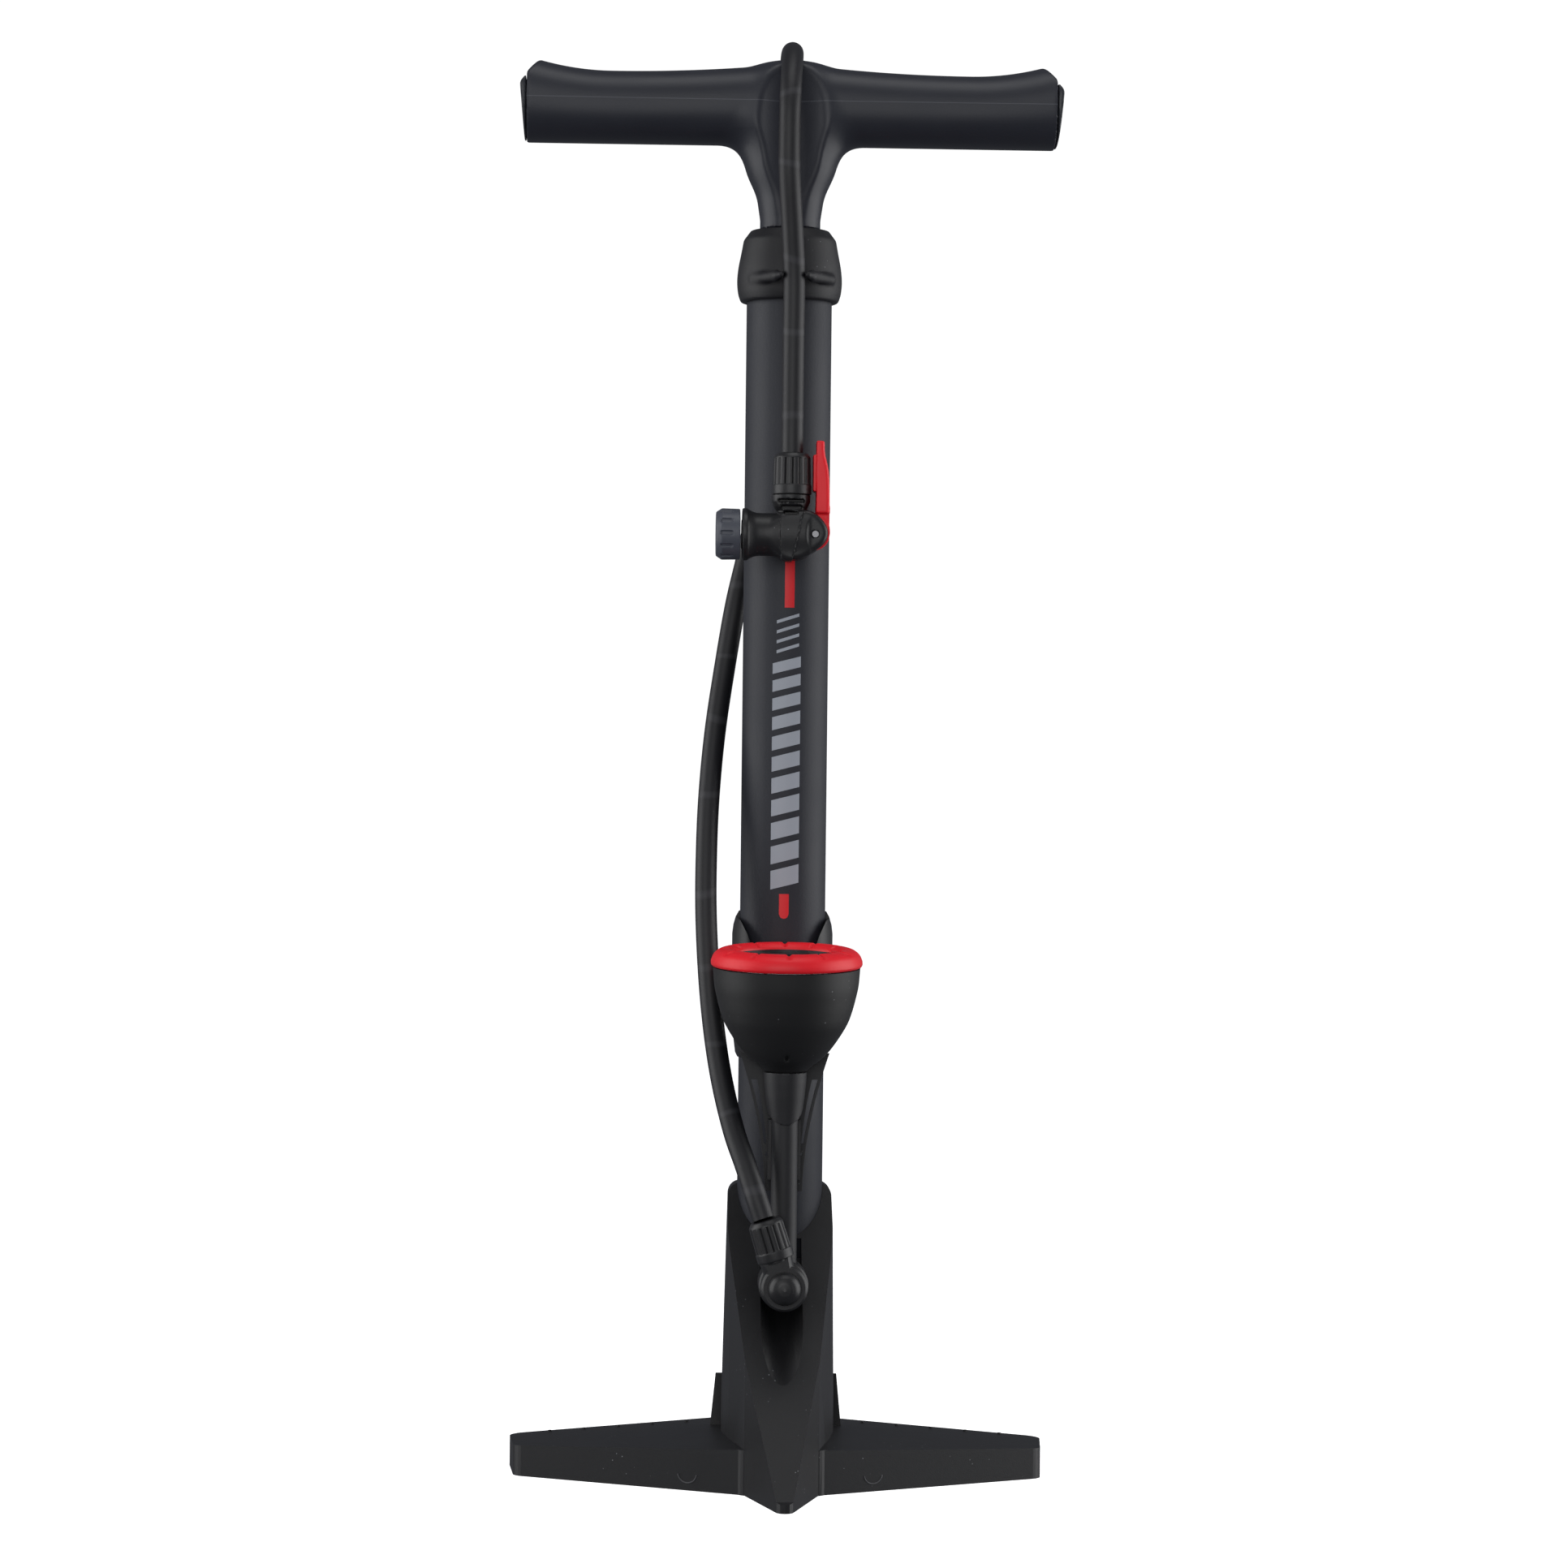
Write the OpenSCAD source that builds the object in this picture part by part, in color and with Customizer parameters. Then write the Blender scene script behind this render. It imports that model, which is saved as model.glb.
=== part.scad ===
// Floor bicycle pump: T-handle, steel barrel, winged foot, top-reading gauge on a stem,
// and a hose that is stored over the handle with its valve head hanging in front.
// +Z is up, -Y is the front and the floor is z = 0. Millimetres.

/* [Barrel] */
// Outside diameter of the barrel tube
barrel_d = 38; // [37.5:0.1:38.4]
// Wall thickness of the barrel tube
barrel_wall = 1.5; // [1.2:0.1:1.8]
// Height of the barrel's lower end above the floor
barrel_foot_z = 98; // [97:0.5:99]
// Height of the barrel's upper end above the floor
barrel_top_z = 546; // [545:0.5:547]

/* [Foot] */
// Width of the foot across both wings
foot_w = 240; // [230:1:245]
// How far the toe reaches in front of the barrel's axis
toe_reach = 108; // [106:1:112]
// How far the foot reaches behind the barrel's axis
heel_reach = 44; // [42:1:46]
// Height of the tower that holds the barrel
tower_h = 129.5; // [128:0.5:131]
// Width of the tower at its top
tower_w = 46; // [45.5:0.1:46.5]
// Width of the recess that clears the hose fitting
recess_w = 18.4; // [17:0.2:19]

/* [Handle] */
// Length of the handle without its end plugs
handle_l = 234; // [230:1:238]
// Height of the handle's straight lower edge
grip_bottom_z = 592; // [591:0.5:593]
// Thickness of the grip where a hand closes round it
grip_t = 32; // [31:0.5:34]
// Diameter of the piston rod
rod_d = 12; // [10:0.5:12]
// How far the handle lifts
stroke = 355; // [300:5:360]

/* [Gauge] */
// Distance of the gauge's axis in front of the barrel's axis
gauge_reach = 55; // [54.5:0.1:55.5]
// Outside diameter of the bezel
bezel_d = 65.8; // [65.5:0.1:66.4]
// Diameter of the bezel's window
window_d = 43.6; // [42:0.2:45]
// Height of the bezel's crest above the floor
bezel_top_z = 237; // [236.8:0.1:237.2]
// Number of notches round the bezel
bezel_notches = 12; // [8:1:16]

/* [Hose and valve head] */
// Outside diameter of the hose
hose_d = 9.6; // [9:0.1:9.8]
// Distance of the valve head's axis in front of the barrel's axis
head_reach = 30; // [29.5:0.1:31]
// Height of the valve head's axis
head_z = 417; // [415:0.5:419]
// Distance of the pivot pin from the hose's axis
lever_pivot_x = 10.2; // [10:0.1:10.4]
// Height of the hose fitting at the foot
fitting_z = 91; // [90.5:0.5:91.5]
// Lean of the hose fitting away from upright, in degrees
fitting_lean = 17.4; // [16:0.2:19]

/* [Hidden] */
$fn = 96;
blend_fn = 32;
eps = 0.01;
running = 0.05;
clear = 0.3;

barrel_r = barrel_d / 2;
bore_r = barrel_r - barrel_wall;
rod_r = rod_d / 2;
hose_r = hose_d / 2;
axis_y = (toe_reach - heel_reach) / 2;
half_w = foot_w / 2;

// The panel on the front of the foot falls from the tower's top to the toe
toe_z = 1.5;
draft = 0.021;
foot_wall = 3;

// The wings' tops fall from the tower to the tips, and carry small studs
wing_root_x = 16;
wing_top_z = 19.6;
wing_fall = 0.0613;
stud_r = 0.8;

// Heights inside the pump
foot_plug_z = 80;
ball_r = 3;
ball_z = 104.6;
piston_z = 114;
piston_h = 20;
bumper_h = 12;
guide_z = piston_z + piston_h + bumper_h + stroke;
cap_z = 522;
cap_top_z = 554;
clip_z = 531;
neck_z = cap_top_z + clear;
pin_z = 572;
rod_top_z = 602;
pin_r = 2;

// The gauge and its stem
bezel_z = bezel_top_z - 8.2;
window_z = bezel_z + 5.4;
lens_z = bezel_z + 1;
dial_z = bezel_z - 3;
gauge_tilt = 3.8;
bowl_foot_z = 183.7;
stem_r = 5.7;
stem_top_z = 190;
collar_top_z = 182.8;

// The bracket: a web below and a collar round the barrel above
web_low_z = 130.5;
web_top_z = 192;
web_low_half = 8.2;
web_flare = 8.8;
slot_low_z = 151;
slot_high_z = 181;
web_pitch = 4;
saddle_half = 7;
screw_z = 222;

// The swivel fitting at the foot: a ring between two washers on a hollow bolt
banjo_reach = gauge_reach + 14;
banjo_half = 5;
washer_t = 0.8;
bolt_r = 4;

// The hose hangs a little to the right of the barrel's axis
head_x = 1;

// The hose, as points on its centre line from the foot fitting to the valve head.
// x is to the side of the barrel's axis, the second number is the distance in front of it.
hose_rise = [
    [-9.2, 69, 120.3], [-12.5, 67, 130], [-17, 61.5, 143], [-22, 54, 157], [-27, 44.5, 177],
    [-30.5, 36.5, 198], [-33, 29.5, 222], [-34.5, 21.5, 250], [-34.5, 14, 276], [-33.5, 6, 302],
    [-31, -3, 330], [-27, -12, 358], [-22, -20, 388], [-16, -25.5, 415], [-11, -28, 445],
    [-6, -29.5, 480], [-2, -31, 515], [0, -34, 550], [0, -37.5, 580], [0, -38, 592]
];
hose_crown = [
    [0, -38, 592], [0, -36.5, 605.5], [0, -31, 617], [0, -22, 626], [0, -11, 631.5], [0, 0, 633],
    [0, 11, 631.5], [-0.5, 22, 626], [-1.2, 31, 617], [-1.8, 36.5, 605.5], [-2, 38, 592]
];
hose_drop = [
    [-2, 38, 592], [-1.8, 37.5, 575], [-0.2, 33.5, 552], [1, 30.2, 531], [1, 30, 505], [1, 30, 480],
    [1, 30, 453]
];

// ---- shared helpers ----

// Puts children on the barrel's axis
module on_axis() {
    translate([0, axis_y, 0]) children();
}

// Puts children at a point: to the side, in front of the barrel's axis, and above the floor
module at(x, reach, z) {
    translate([x, axis_y - reach, z]) children();
}

// Turns a shape drawn along +Z to lie along +X
module along_x() {
    rotate([0, 90, 0]) children();
}

// Turns a shape drawn along +Z to point to the front
module along_front() {
    rotate([90, 0, 0]) children();
}

// Extrudes an outline drawn as (x, z) over a range of distances in front of the barrel's axis
module front_outline(near, far) {
    translate([0, axis_y - near, 0]) rotate([90, 0, 0]) linear_extrude(far - near) children();
}

// Extrudes an outline drawn as (distance in front of the barrel's axis, z) to both sides
module side_outline(half) {
    translate([-half, axis_y, 0]) rotate([90, 0, -90]) mirror([0, 0, 1])
        linear_extrude(2 * half) children();
}

// A ring with a rectangular section
module ring(r_out, r_in, z0, z1) {
    rotate_extrude() translate([r_in, z0]) square([r_out - r_in, z1 - z0]);
}

// A round-section seal
module o_ring(r_mid, r_section) {
    rotate_extrude() translate([r_mid, 0]) circle(r_section, $fn = blend_fn);
}

// Tube swept along points: each ring stands square to the line's direction there
function unit(v) = v / norm(v);
function heading(p, i) = unit(p[min(i + 1, len(p) - 1)] - p[max(i - 1, 0)]);
function ring_points(centre, dir, side_hint, r, sides) =
    let (a = unit(cross(side_hint, dir)), b = cross(dir, a))
    [for (k = [0 : sides - 1]) centre + r * (cos(360 * k / sides) * a + sin(360 * k / sides) * b)];

module swept_tube(points, dirs, r, sides, side_hint = [1, 0, 0]) {
    rings = [for (i = [0 : len(points) - 1]) ring_points(points[i], dirs[i], side_hint, r, sides)];
    last = (len(points) - 1) * sides;
    walls = [for (i = [0 : len(points) - 2], k = [0 : sides - 1])
        let (a = i * sides + k, b = i * sides + (k + 1) % sides)
        each [[a, b, b + sides], [a, b + sides, a + sides]]];
    start = [for (k = [sides - 1 : -1 : 0]) k];
    end = [for (k = [0 : sides - 1]) last + k];
    polyhedron([for (one = rings) each one], concat([start], walls, [end]), convexity = 8);
}

// Smooth curve through a list of points, with some steps between each pair
function before(p, i) = i == 0 ? 2 * p[0] - p[1] : p[i - 1];
function after(p, i) = i >= len(p) ? 2 * p[len(p) - 1] - p[len(p) - 2] : p[i];
function between(a, b, c, d, t) =
    0.5 * (2 * b + (c - a) * t + (2 * a - 5 * b + 4 * c - d) * t * t
        + (3 * b - a - 3 * c + d) * t * t * t);
function smooth(p, steps) = concat(
    [for (i = [0 : len(p) - 2], s = [0 : steps - 1])
        between(before(p, i), p[i], p[i + 1], after(p, i + 2), s / steps)],
    [p[len(p) - 1]]);
function placed(p) = [for (q = p) [q[0], axis_y - q[1], q[2]]];

// A stretch of hose: its two ends are cut square to the directions given
module hose(route, steps, first, last) {
    points = placed(smooth(route, steps));
    n = len(points) - 1;
    dirs = [for (i = [0 : n]) i == 0 ? first : i == n ? last : heading(points, i)];
    swept_tube(points, dirs, hose_r, 10);
}

// Ribbed hand nut along +Z from its lower rim at z = 0
module hand_nut(r, h, bore, ribs) {
    difference() {
        rotate_extrude() polygon([[bore, 0], [r - 0.3, 0], [r, 1], [r, h * 0.55],
            [r - 0.5, h - 2], [r - 2.2, h], [bore, h]]);
        for (k = [0 : ribs - 1])
            rotate([0, 0, 360 * k / ribs]) translate([r - 0.7, -0.7, h * 0.2])
                cube([2, 1.4, h * 0.7]);
    }
}

// ---- the foot ----

// Plan of one wing as (x, distance in front), with its outer corners rounded
module wing_plan() {
    offset(r = 7, $fn = blend_fn) offset(delta = -7)
        polygon([[-20, 62], [16, 60], [half_w - 3, 9], [half_w, -28], [20, -heel_reach],
            [-20, -heel_reach]]);
}

// Front view of one wing: the top falls towards the tip
module wing_front(lower) {
    top = wing_top_z - lower;
    polygon([[-20, 0], [half_w + 2, 0], [half_w + 2, top - wing_fall * (half_w + 2 - wing_root_x)],
        [wing_root_x, top], [-20, top]]);
}

module wing(inset = 0) {
    intersection() {
        on_axis() linear_extrude(30) mirror([0, 1]) offset(delta = -inset) wing_plan();
        front_outline(-heel_reach - 5, 80) wing_front(inset);
    }
}

// Plan of the tower and prow
module prow_plan() {
    circle(tower_w / 2 + 2);
    polygon([[-tower_w / 2 - 2, 0], [tower_w / 2 + 2, 0], [tower_w / 2 - 0.6, 23], [16.2, 60],
        [3.5, toe_reach - 2.5], [2, toe_reach - 0.6], [0, toe_reach], [-2, toe_reach - 0.6],
        [-3.5, toe_reach - 2.5], [-16.2, 60], [-tower_w / 2 + 0.6, 23]]);
}

// Front view of the tower: it narrows upwards and its top corners are round
module tower_front(inset) {
    top = tower_w / 2 - inset;
    bottom = top + draft * tower_h;
    round_r = 5;
    polygon([[-bottom, 0], [bottom, 0], [top, tower_h - round_r], [-top, tower_h - round_r]]);
    translate([-top + round_r, tower_h - 2 * round_r]) square([2 * (top - round_r), 2 * round_r]);
    for (side = [-1, 1])
        translate([side * (top - round_r), tower_h - round_r]) circle(round_r);
}

// Side view of the tower and prow: the front panel falls from the tower's top to the toe
module panel_side(lower) {
    polygon([[-40, 0], [toe_reach + 1, 0], [toe_reach + 1, toe_z + 2 - lower],
        [toe_reach - 3, toe_z + 3 - lower], [0, tower_h - lower], [-40, tower_h]]);
}

module prow(inset = 0) {
    intersection() {
        on_axis() linear_extrude(tower_h) mirror([0, 1]) offset(delta = -inset) prow_plan();
        front_outline(-60, toe_reach + 5) tower_front(inset);
        side_outline(60) panel_side(inset * 1.5);
    }
}

// Recess down the panel: a round-bottomed scoop that runs out at its lower end
module fitting_recess() {
    r = recess_w / 2;
    fall = 32.6;
    at(0, 64.6, 50.8) rotate([fall, 0, 0]) translate([0, 0, r]) {
        rotate([-90, 0, 0]) translate([0, 0, -40]) cylinder(r = r, h = 120);
        translate([-r, -40, 0]) cube([recess_w, 120, 60]);
    }
}

module foot_screw_places() {
    on_axis() for (k = [0 : 2]) rotate([0, 0, 120 * k + 30]) translate([12, 0, 0]) children();
}

// A row of small studs near the rear edge of each wing's top, each in a shallow hole
module foot_stud_places() {
    first_x = 40;
    pitch = 15.4;
    for (side = [-1, 1], k = [0 : 4]) {
        x = first_x + pitch * k;
        at(side * x, -33 + 1.6 * k, wing_top_z - wing_fall * (x - wing_root_x) - 0.8) children();
    }
}

module foot_ribs() {
    rib_t = 2;
    intersection() {
        union() {
            wing(foot_wall - 0.5);
            mirror([1, 0, 0]) wing(foot_wall - 0.5);
        }
        union() {
            for (side = [-1, 1], x = [44, 68, 92])
                translate([side * x - rib_t / 2, -100, 0]) cube([rib_t, 200, 30]);
            at(-half_w, rib_t / 2 - 12, 0) cube([foot_w, rib_t, 30]);
        }
    }
}

module foot_outside() {
    wing();
    mirror([1, 0, 0]) wing();
    prow();
    // Buttresses where the wings meet the tower
    for (side = [-1, 1])
        front_outline(-22.5, -19.5) polygon([[side * 18, 42], [side * 27.2, 42], [side * 29.6, 17],
            [side * 18, 17]]);
}

module foot() color("#1b1b1d") {
    difference() {
        foot_outside();
        // Seats for the barrel and its plug
        on_axis() translate([0, 0, foot_plug_z]) cylinder(r = barrel_r + 0.1, h = 60);
        intersection() {
            fitting_recess();
            at(-20, 80, 0) cube([40, 80, 107]);
        }
        // Hollow underside
        wing(foot_wall);
        mirror([1, 0, 0]) wing(foot_wall);
        intersection() {
            prow(foot_wall);
            translate([-60, -100, -eps]) cube([120, 200, 36]);
        }
        on_axis() translate([0, 0, -eps]) cylinder(r = 17, h = foot_plug_z - 5);
        foot_screw_places() translate([0, 0, foot_plug_z - 10]) cylinder(r = 2.1, h = 20);
        foot_stud_places() cylinder(r = stud_r + running, h = 5);
    }
    foot_ribs_trimmed();
}

module foot_ribs_trimmed() {
    difference() {
        foot_ribs();
        on_axis() translate([0, 0, -eps]) cylinder(r = 30, h = 60);
        translate([-22, -100, -eps]) cube([44, 200, 60]);
    }
}

module foot_grip_studs() color("#101012") {
    foot_stud_places() cylinder(r = stud_r, h = 1.5);
}

module foot_screws() color("silver") {
    foot_screw_places() {
        translate([0, 0, foot_plug_z - 5 - 2.6]) cylinder(r = 3.6, h = 2.6);
        translate([0, 0, foot_plug_z - 5.5]) cylinder(r = 2, h = 14);
    }
}

// ---- air path at the foot ----

module foot_plug() color("#2b2b2e") {
    difference() {
        union() {
            on_axis() {
                translate([0, 0, foot_plug_z]) cylinder(r = barrel_r, h = barrel_foot_z - foot_plug_z);
                translate([0, 0, barrel_foot_z - eps]) cylinder(r = bore_r - running, h = 14);
            }
            at(0, 0, fitting_z) along_front() cylinder(r = 6.5, h = gauge_reach - 12);
        }
        on_axis() {
            translate([0, 0, barrel_foot_z + 5]) ring(20, bore_r - 2.2, 0, 2.6);
            translate([0, 0, fitting_z - 1]) cylinder(r = 3.7, h = 17);
            translate([0, 0, fitting_z]) cylinder(r = 2, h = 30);
        }
        at(0, 0, fitting_z) along_front() cylinder(r = 2.5, h = 60);
        foot_screw_places() translate([0, 0, foot_plug_z - 1]) cylinder(r = 2.05, h = 10);
    }
}

module foot_plug_seal() color("#0c0c0c") {
    on_axis() translate([0, 0, barrel_foot_z + 6.3]) o_ring(bore_r - 1.15, 1.05);
}

module check_ball() color("silver") {
    on_axis() translate([0, 0, ball_z]) sphere(r = ball_r);
}

module check_spring() color("silver") {
    turns = 5;
    per_turn = 14;
    wire_r = 0.35;
    coil_r = 2.4;
    low = fitting_z + 3.2;
    high = ball_z - ball_r - 0.5;
    points = [for (i = [0 : turns * per_turn]) [coil_r * cos(360 * i / per_turn),
        axis_y + coil_r * sin(360 * i / per_turn), low + (high - low) * i / (turns * per_turn)]];
    n = len(points) - 1;
    dirs = [for (i = [0 : n]) heading(points, i)];
    swept_tube(points, dirs, wire_r, 6, [0, 0, 1]);
}

module outlet_block() color("#18181a") {
    back = gauge_reach - 12;
    front = banjo_reach - banjo_half - washer_t;
    difference() {
        at(0, back, fitting_z) along_front() rotate_extrude()
            polygon([[0, 0], [9.4, 0], [10.8, 1.4], [10.8, front - back - 1], [9.8, front - back],
                [0, front - back]]);
        at(0, gauge_reach, fitting_z + 3) cylinder(r = stem_r + running, h = 20);
        at(0, gauge_reach, fitting_z) cylinder(r = 2.5, h = 5);
        at(0, back - 1, fitting_z) along_front() cylinder(r = 2.5, h = 40);
        at(0, back - 1, fitting_z) along_front() cylinder(r = 3.6, h = 3);
        at(0, gauge_reach - 3, fitting_z) along_front() cylinder(r = bolt_r + running, h = 20);
    }
}

module outlet_seal() color("#0c0c0c") {
    at(0, gauge_reach - 11.1, fitting_z) along_front() o_ring(2.8, 0.7);
}

module banjo_bolt() color("#161618") {
    head = 2 * (banjo_half + washer_t);
    thread = 6;
    at(0, banjo_reach - banjo_half - washer_t - thread, fitting_z) along_front() difference() {
        translate([0, 0, thread]) rotate_extrude()
            polygon([[0, -thread], [bolt_r, -thread], [bolt_r, head], [7, head], [7, head + 1.8],
                [6.4, head + 3.2], [5, head + 4.6], [3, head + 5.5], [0, head + 5.8]]);
        translate([0, 0, -1]) cylinder(r = 1.8, h = thread + banjo_half + 2);
        translate([0, 0, thread + washer_t + banjo_half]) rotate([0, 90, 0])
            cylinder(r = 1.6, h = 12, center = true);
    }
}

module banjo_washers() color("#101010") {
    for (start = [-banjo_half - washer_t, banjo_half])
        at(0, banjo_reach + start, fitting_z) along_front() ring(7.2, bolt_r + 0.1, 0, washer_t);
}

// Puts children on the line of the hose spigot, which leans away from upright
module at_spigot() {
    at(0, banjo_reach, fitting_z) rotate([0, -fitting_lean, 0]) children();
}

module banjo_body() color("#18181a") {
    flat = banjo_half - running;
    difference() {
        union() {
            at(0, banjo_reach - flat, fitting_z) along_front() rotate_extrude()
                polygon([[0, 0], [9, 0], [10, 1], [10, 2 * flat - 1], [9, 2 * flat], [0, 2 * flat]]);
            at_spigot() {
                // Neck as deep as the ring, and a flange under the nut
                intersection() {
                    cylinder(r1 = 6.2, r2 = 7.2, h = 12.6);
                    translate([-10, -flat, 0]) cube([20, 2 * flat, 20]);
                }
                translate([0, 0, 11.6]) cylinder(r = 6.2, h = 1);
                cylinder(r = 4.4, h = 29);
            }
        }
        at(0, banjo_reach - 2 * banjo_half, fitting_z) along_front()
            cylinder(r = bolt_r + running, h = 4 * banjo_half);
        at_spigot() cylinder(r = 1.8, h = 40);
    }
}

module hose_nut_lower() color("#1c1c1f") {
    at_spigot() translate([0, 0, 13]) hand_nut(8.1, 17.6, 4.6, 14);
}

// ---- stem and gauge ----

module stem_tube() color("#202023") {
    at(0, gauge_reach, 0) ring(stem_r, 3.9, fitting_z + 5, stem_top_z);
}

module stem_seals() color("#0c0c0c") {
    at(0, gauge_reach, stem_top_z + 1) o_ring(4.9, 0.8);
}

// Puts children on the gauge's axis, which leans forward from the bowl's foot
module at_gauge() {
    at(0, gauge_reach, bowl_foot_z) rotate([gauge_tilt, 0, 0]) translate([0, 0, -bowl_foot_z])
        children();
}

// Sleeve under the bowl: its lower edge runs down to a tongue at the front
module stem_collar() color("#1b1b1d") {
    top = collar_top_z;
    intersection() {
        at(0, gauge_reach, 0) rotate_extrude() polygon([[stem_r + running, 156], [6.6, 156],
            [7.4, 164], [8.9, 175], [9.5, top], [stem_r + running, top]]);
        side_outline(20) polygon([[gauge_reach - 12, 177], [gauge_reach + 6.6, 157.5],
            [gauge_reach + 14, 157.5], [gauge_reach + 14, top], [gauge_reach - 12, top]]);
    }
}

// Outline of the bowl from its foot to its rim, as (radius, height)
bowl_outline = [[9.5, bowl_foot_z], [12, 186], [16.9, 189.9], [21.7, 195.9], [26.4, 203.6],
    [28.6, 210], [30.2, 215.5], [31.3, 221], [31.9, bezel_z - clear]];

module gauge_bowl() color("#1b1b1d") {
    wall = 2.2;
    bore = stem_r + 0.6;
    rim_z = bezel_z - 2.5;
    floor_z = 188.8;
    inner = [for (i = [len(bowl_outline) - 1 : -1 : 2])
        [bowl_outline[i][0] - wall, min(bowl_outline[i][1] + 0.6, rim_z)]];
    at_gauge() difference() {
        rotate_extrude() polygon(concat([[bore, bowl_foot_z]], bowl_outline,
            [[29.2, bezel_z - clear], [29.2, lens_z], [24, lens_z], [24, rim_z]],
            inner, [[9.8, floor_z], [bore, floor_z]]));
        // Drain hole low on the front
        translate([0, 0, 190.6]) along_front() cylinder(r = 1.3, h = 30);
    }
}

module gauge_socket() color("goldenrod") {
    at_gauge() difference() {
        union() {
            translate([0, 0, stem_top_z + 2.6]) cylinder(r = 7, h = 5.4, $fn = 6);
            translate([0, 0, stem_top_z + 7.9]) cylinder(r = 9.2, h = 9);
            rotate([0, 0, 130]) translate([0, -6, stem_top_z + 10]) cube([15.2, 6, 6]);
        }
        translate([0, 0, stem_top_z]) cylinder(r = 1.5, h = 12);
    }
}

module bourdon_tube() color("goldenrod") {
    at_gauge() translate([0, 0, stem_top_z + 12]) rotate([0, 0, 130]) rotate_extrude(angle = 280)
        translate([13, 0]) square([2, 5]);
}

module gauge_movement() color("silver") {
    at_gauge() difference() {
        union() {
            translate([0, 0, stem_top_z + 20]) cylinder(r = 20, h = 1.2);
            for (a = [40, 160, 280])
                rotate([0, 0, a]) translate([7.5, 0, stem_top_z + 17])
                    cylinder(r = 1.5, h = dial_z - stem_top_z - 17);
        }
        translate([0, 0, stem_top_z + 10]) cylinder(r = 1.2, h = 30);
    }
}

module gauge_dial() color("whitesmoke") {
    at_gauge() ring(23.7, 1.4, dial_z, dial_z + 0.8);
}

module gauge_needle() color("red") {
    at_gauge() rotate([0, 0, -135]) {
        translate([0, 0, stem_top_z + 18]) cylinder(r = 0.9, h = dial_z + 3 - stem_top_z - 18);
        translate([0, 0, dial_z + 1.6]) cylinder(r = 2.4, h = 1.4);
        translate([0, 0, dial_z + 1.8]) linear_extrude(0.5)
            polygon([[-6, -1.4], [-6, 1.4], [0, 1], [19.5, 0.25], [19.5, -0.25], [0, -1]]);
    }
}

module gauge_lens() color("lightblue", 0.4) {
    at_gauge() translate([0, 0, lens_z]) cylinder(r = 27.5, h = 2);
}

module lens_retainer() color("#101010") {
    r = window_d / 2 - clear;
    at_gauge() translate([0, 0, lens_z + 2]) rotate_extrude()
        polygon([[r - 2.4, 0], [r, 0], [r, 2.1], [r - 0.6, 2.1], [r - 0.6, 1.4], [r - 1.2, 1.4],
            [r - 1.2, 0.7], [r - 1.8, 0.7], [r - 2.4, 0.3]]);
}

module gauge_bezel() color("#d0101a") {
    r = bezel_d / 2;
    w = window_d / 2;
    z = bezel_z;
    at_gauge() difference() {
        rotate_extrude() polygon([[29.5, z], [r - 0.9, z], [r - 0.2, z + 1], [r, z + 2.4],
            [r - 0.4, z + 4], [r - 1.6, z + 5.8], [r - 3.6, z + 7.3], [r - 6, z + 8],
            [r - 8, z + 8], [w + 1.2, window_z + 1.2], [w, window_z], [w, lens_z + 2 + clear],
            [29.5, lens_z + 2 + clear]]);
        for (k = [0 : bezel_notches - 1])
            rotate([0, 0, 360 * (k + 0.5) / bezel_notches]) translate([r - 8, 0, bezel_top_z + 1])
                rotate([0, 90, 0]) cylinder(r = 1.7, h = 20);
    }
}

module target_marker() color("#d0101a") {
    w = window_d / 2;
    at_gauge() translate([0, 0, window_z]) intersection() {
        translate([w - 2.6, -2.2, 0]) cube([2.6, 4.4, 1.4]);
        cylinder(r = w, h = 3);
    }
}

// ---- gauge bracket ----

// Half the web's width at a height: it widens faster and faster towards the collar
function web_half(z) = web_low_half
    + web_flare * pow(max(z - web_low_z, 0) / (collar_top_z - web_low_z), 1.8);

// Front plate of the web: it widens upwards into the collar, with a curved slot down each side
module web_front() {
    heights = [for (z = [web_low_z : web_pitch : web_top_z]) z];
    slot = [for (z = [slot_low_z : web_pitch : slot_high_z]) z];
    rim = 1.3;
    slot_w = 1;
    slot_widens = 0.06;
    hole_x = 7.2;
    hole_z = 146.5;
    difference() {
        polygon(concat([for (z = heights) [web_half(z), z]],
            [for (i = [len(heights) - 1 : -1 : 0]) [-web_half(heights[i]), heights[i]]]));
        for (side = [-1, 1]) {
            polygon(concat([for (z = slot) [side * (web_half(z) - rim), z]],
                [for (i = [len(slot) - 1 : -1 : 0])
                    [side * (web_half(slot[i]) - rim - slot_w
                        - slot_widens * (slot[i] - slot_low_z)), slot[i]]]));
            translate([side * hole_x, hole_z]) circle(0.9, $fn = 24);
        }
    }
}

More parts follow.
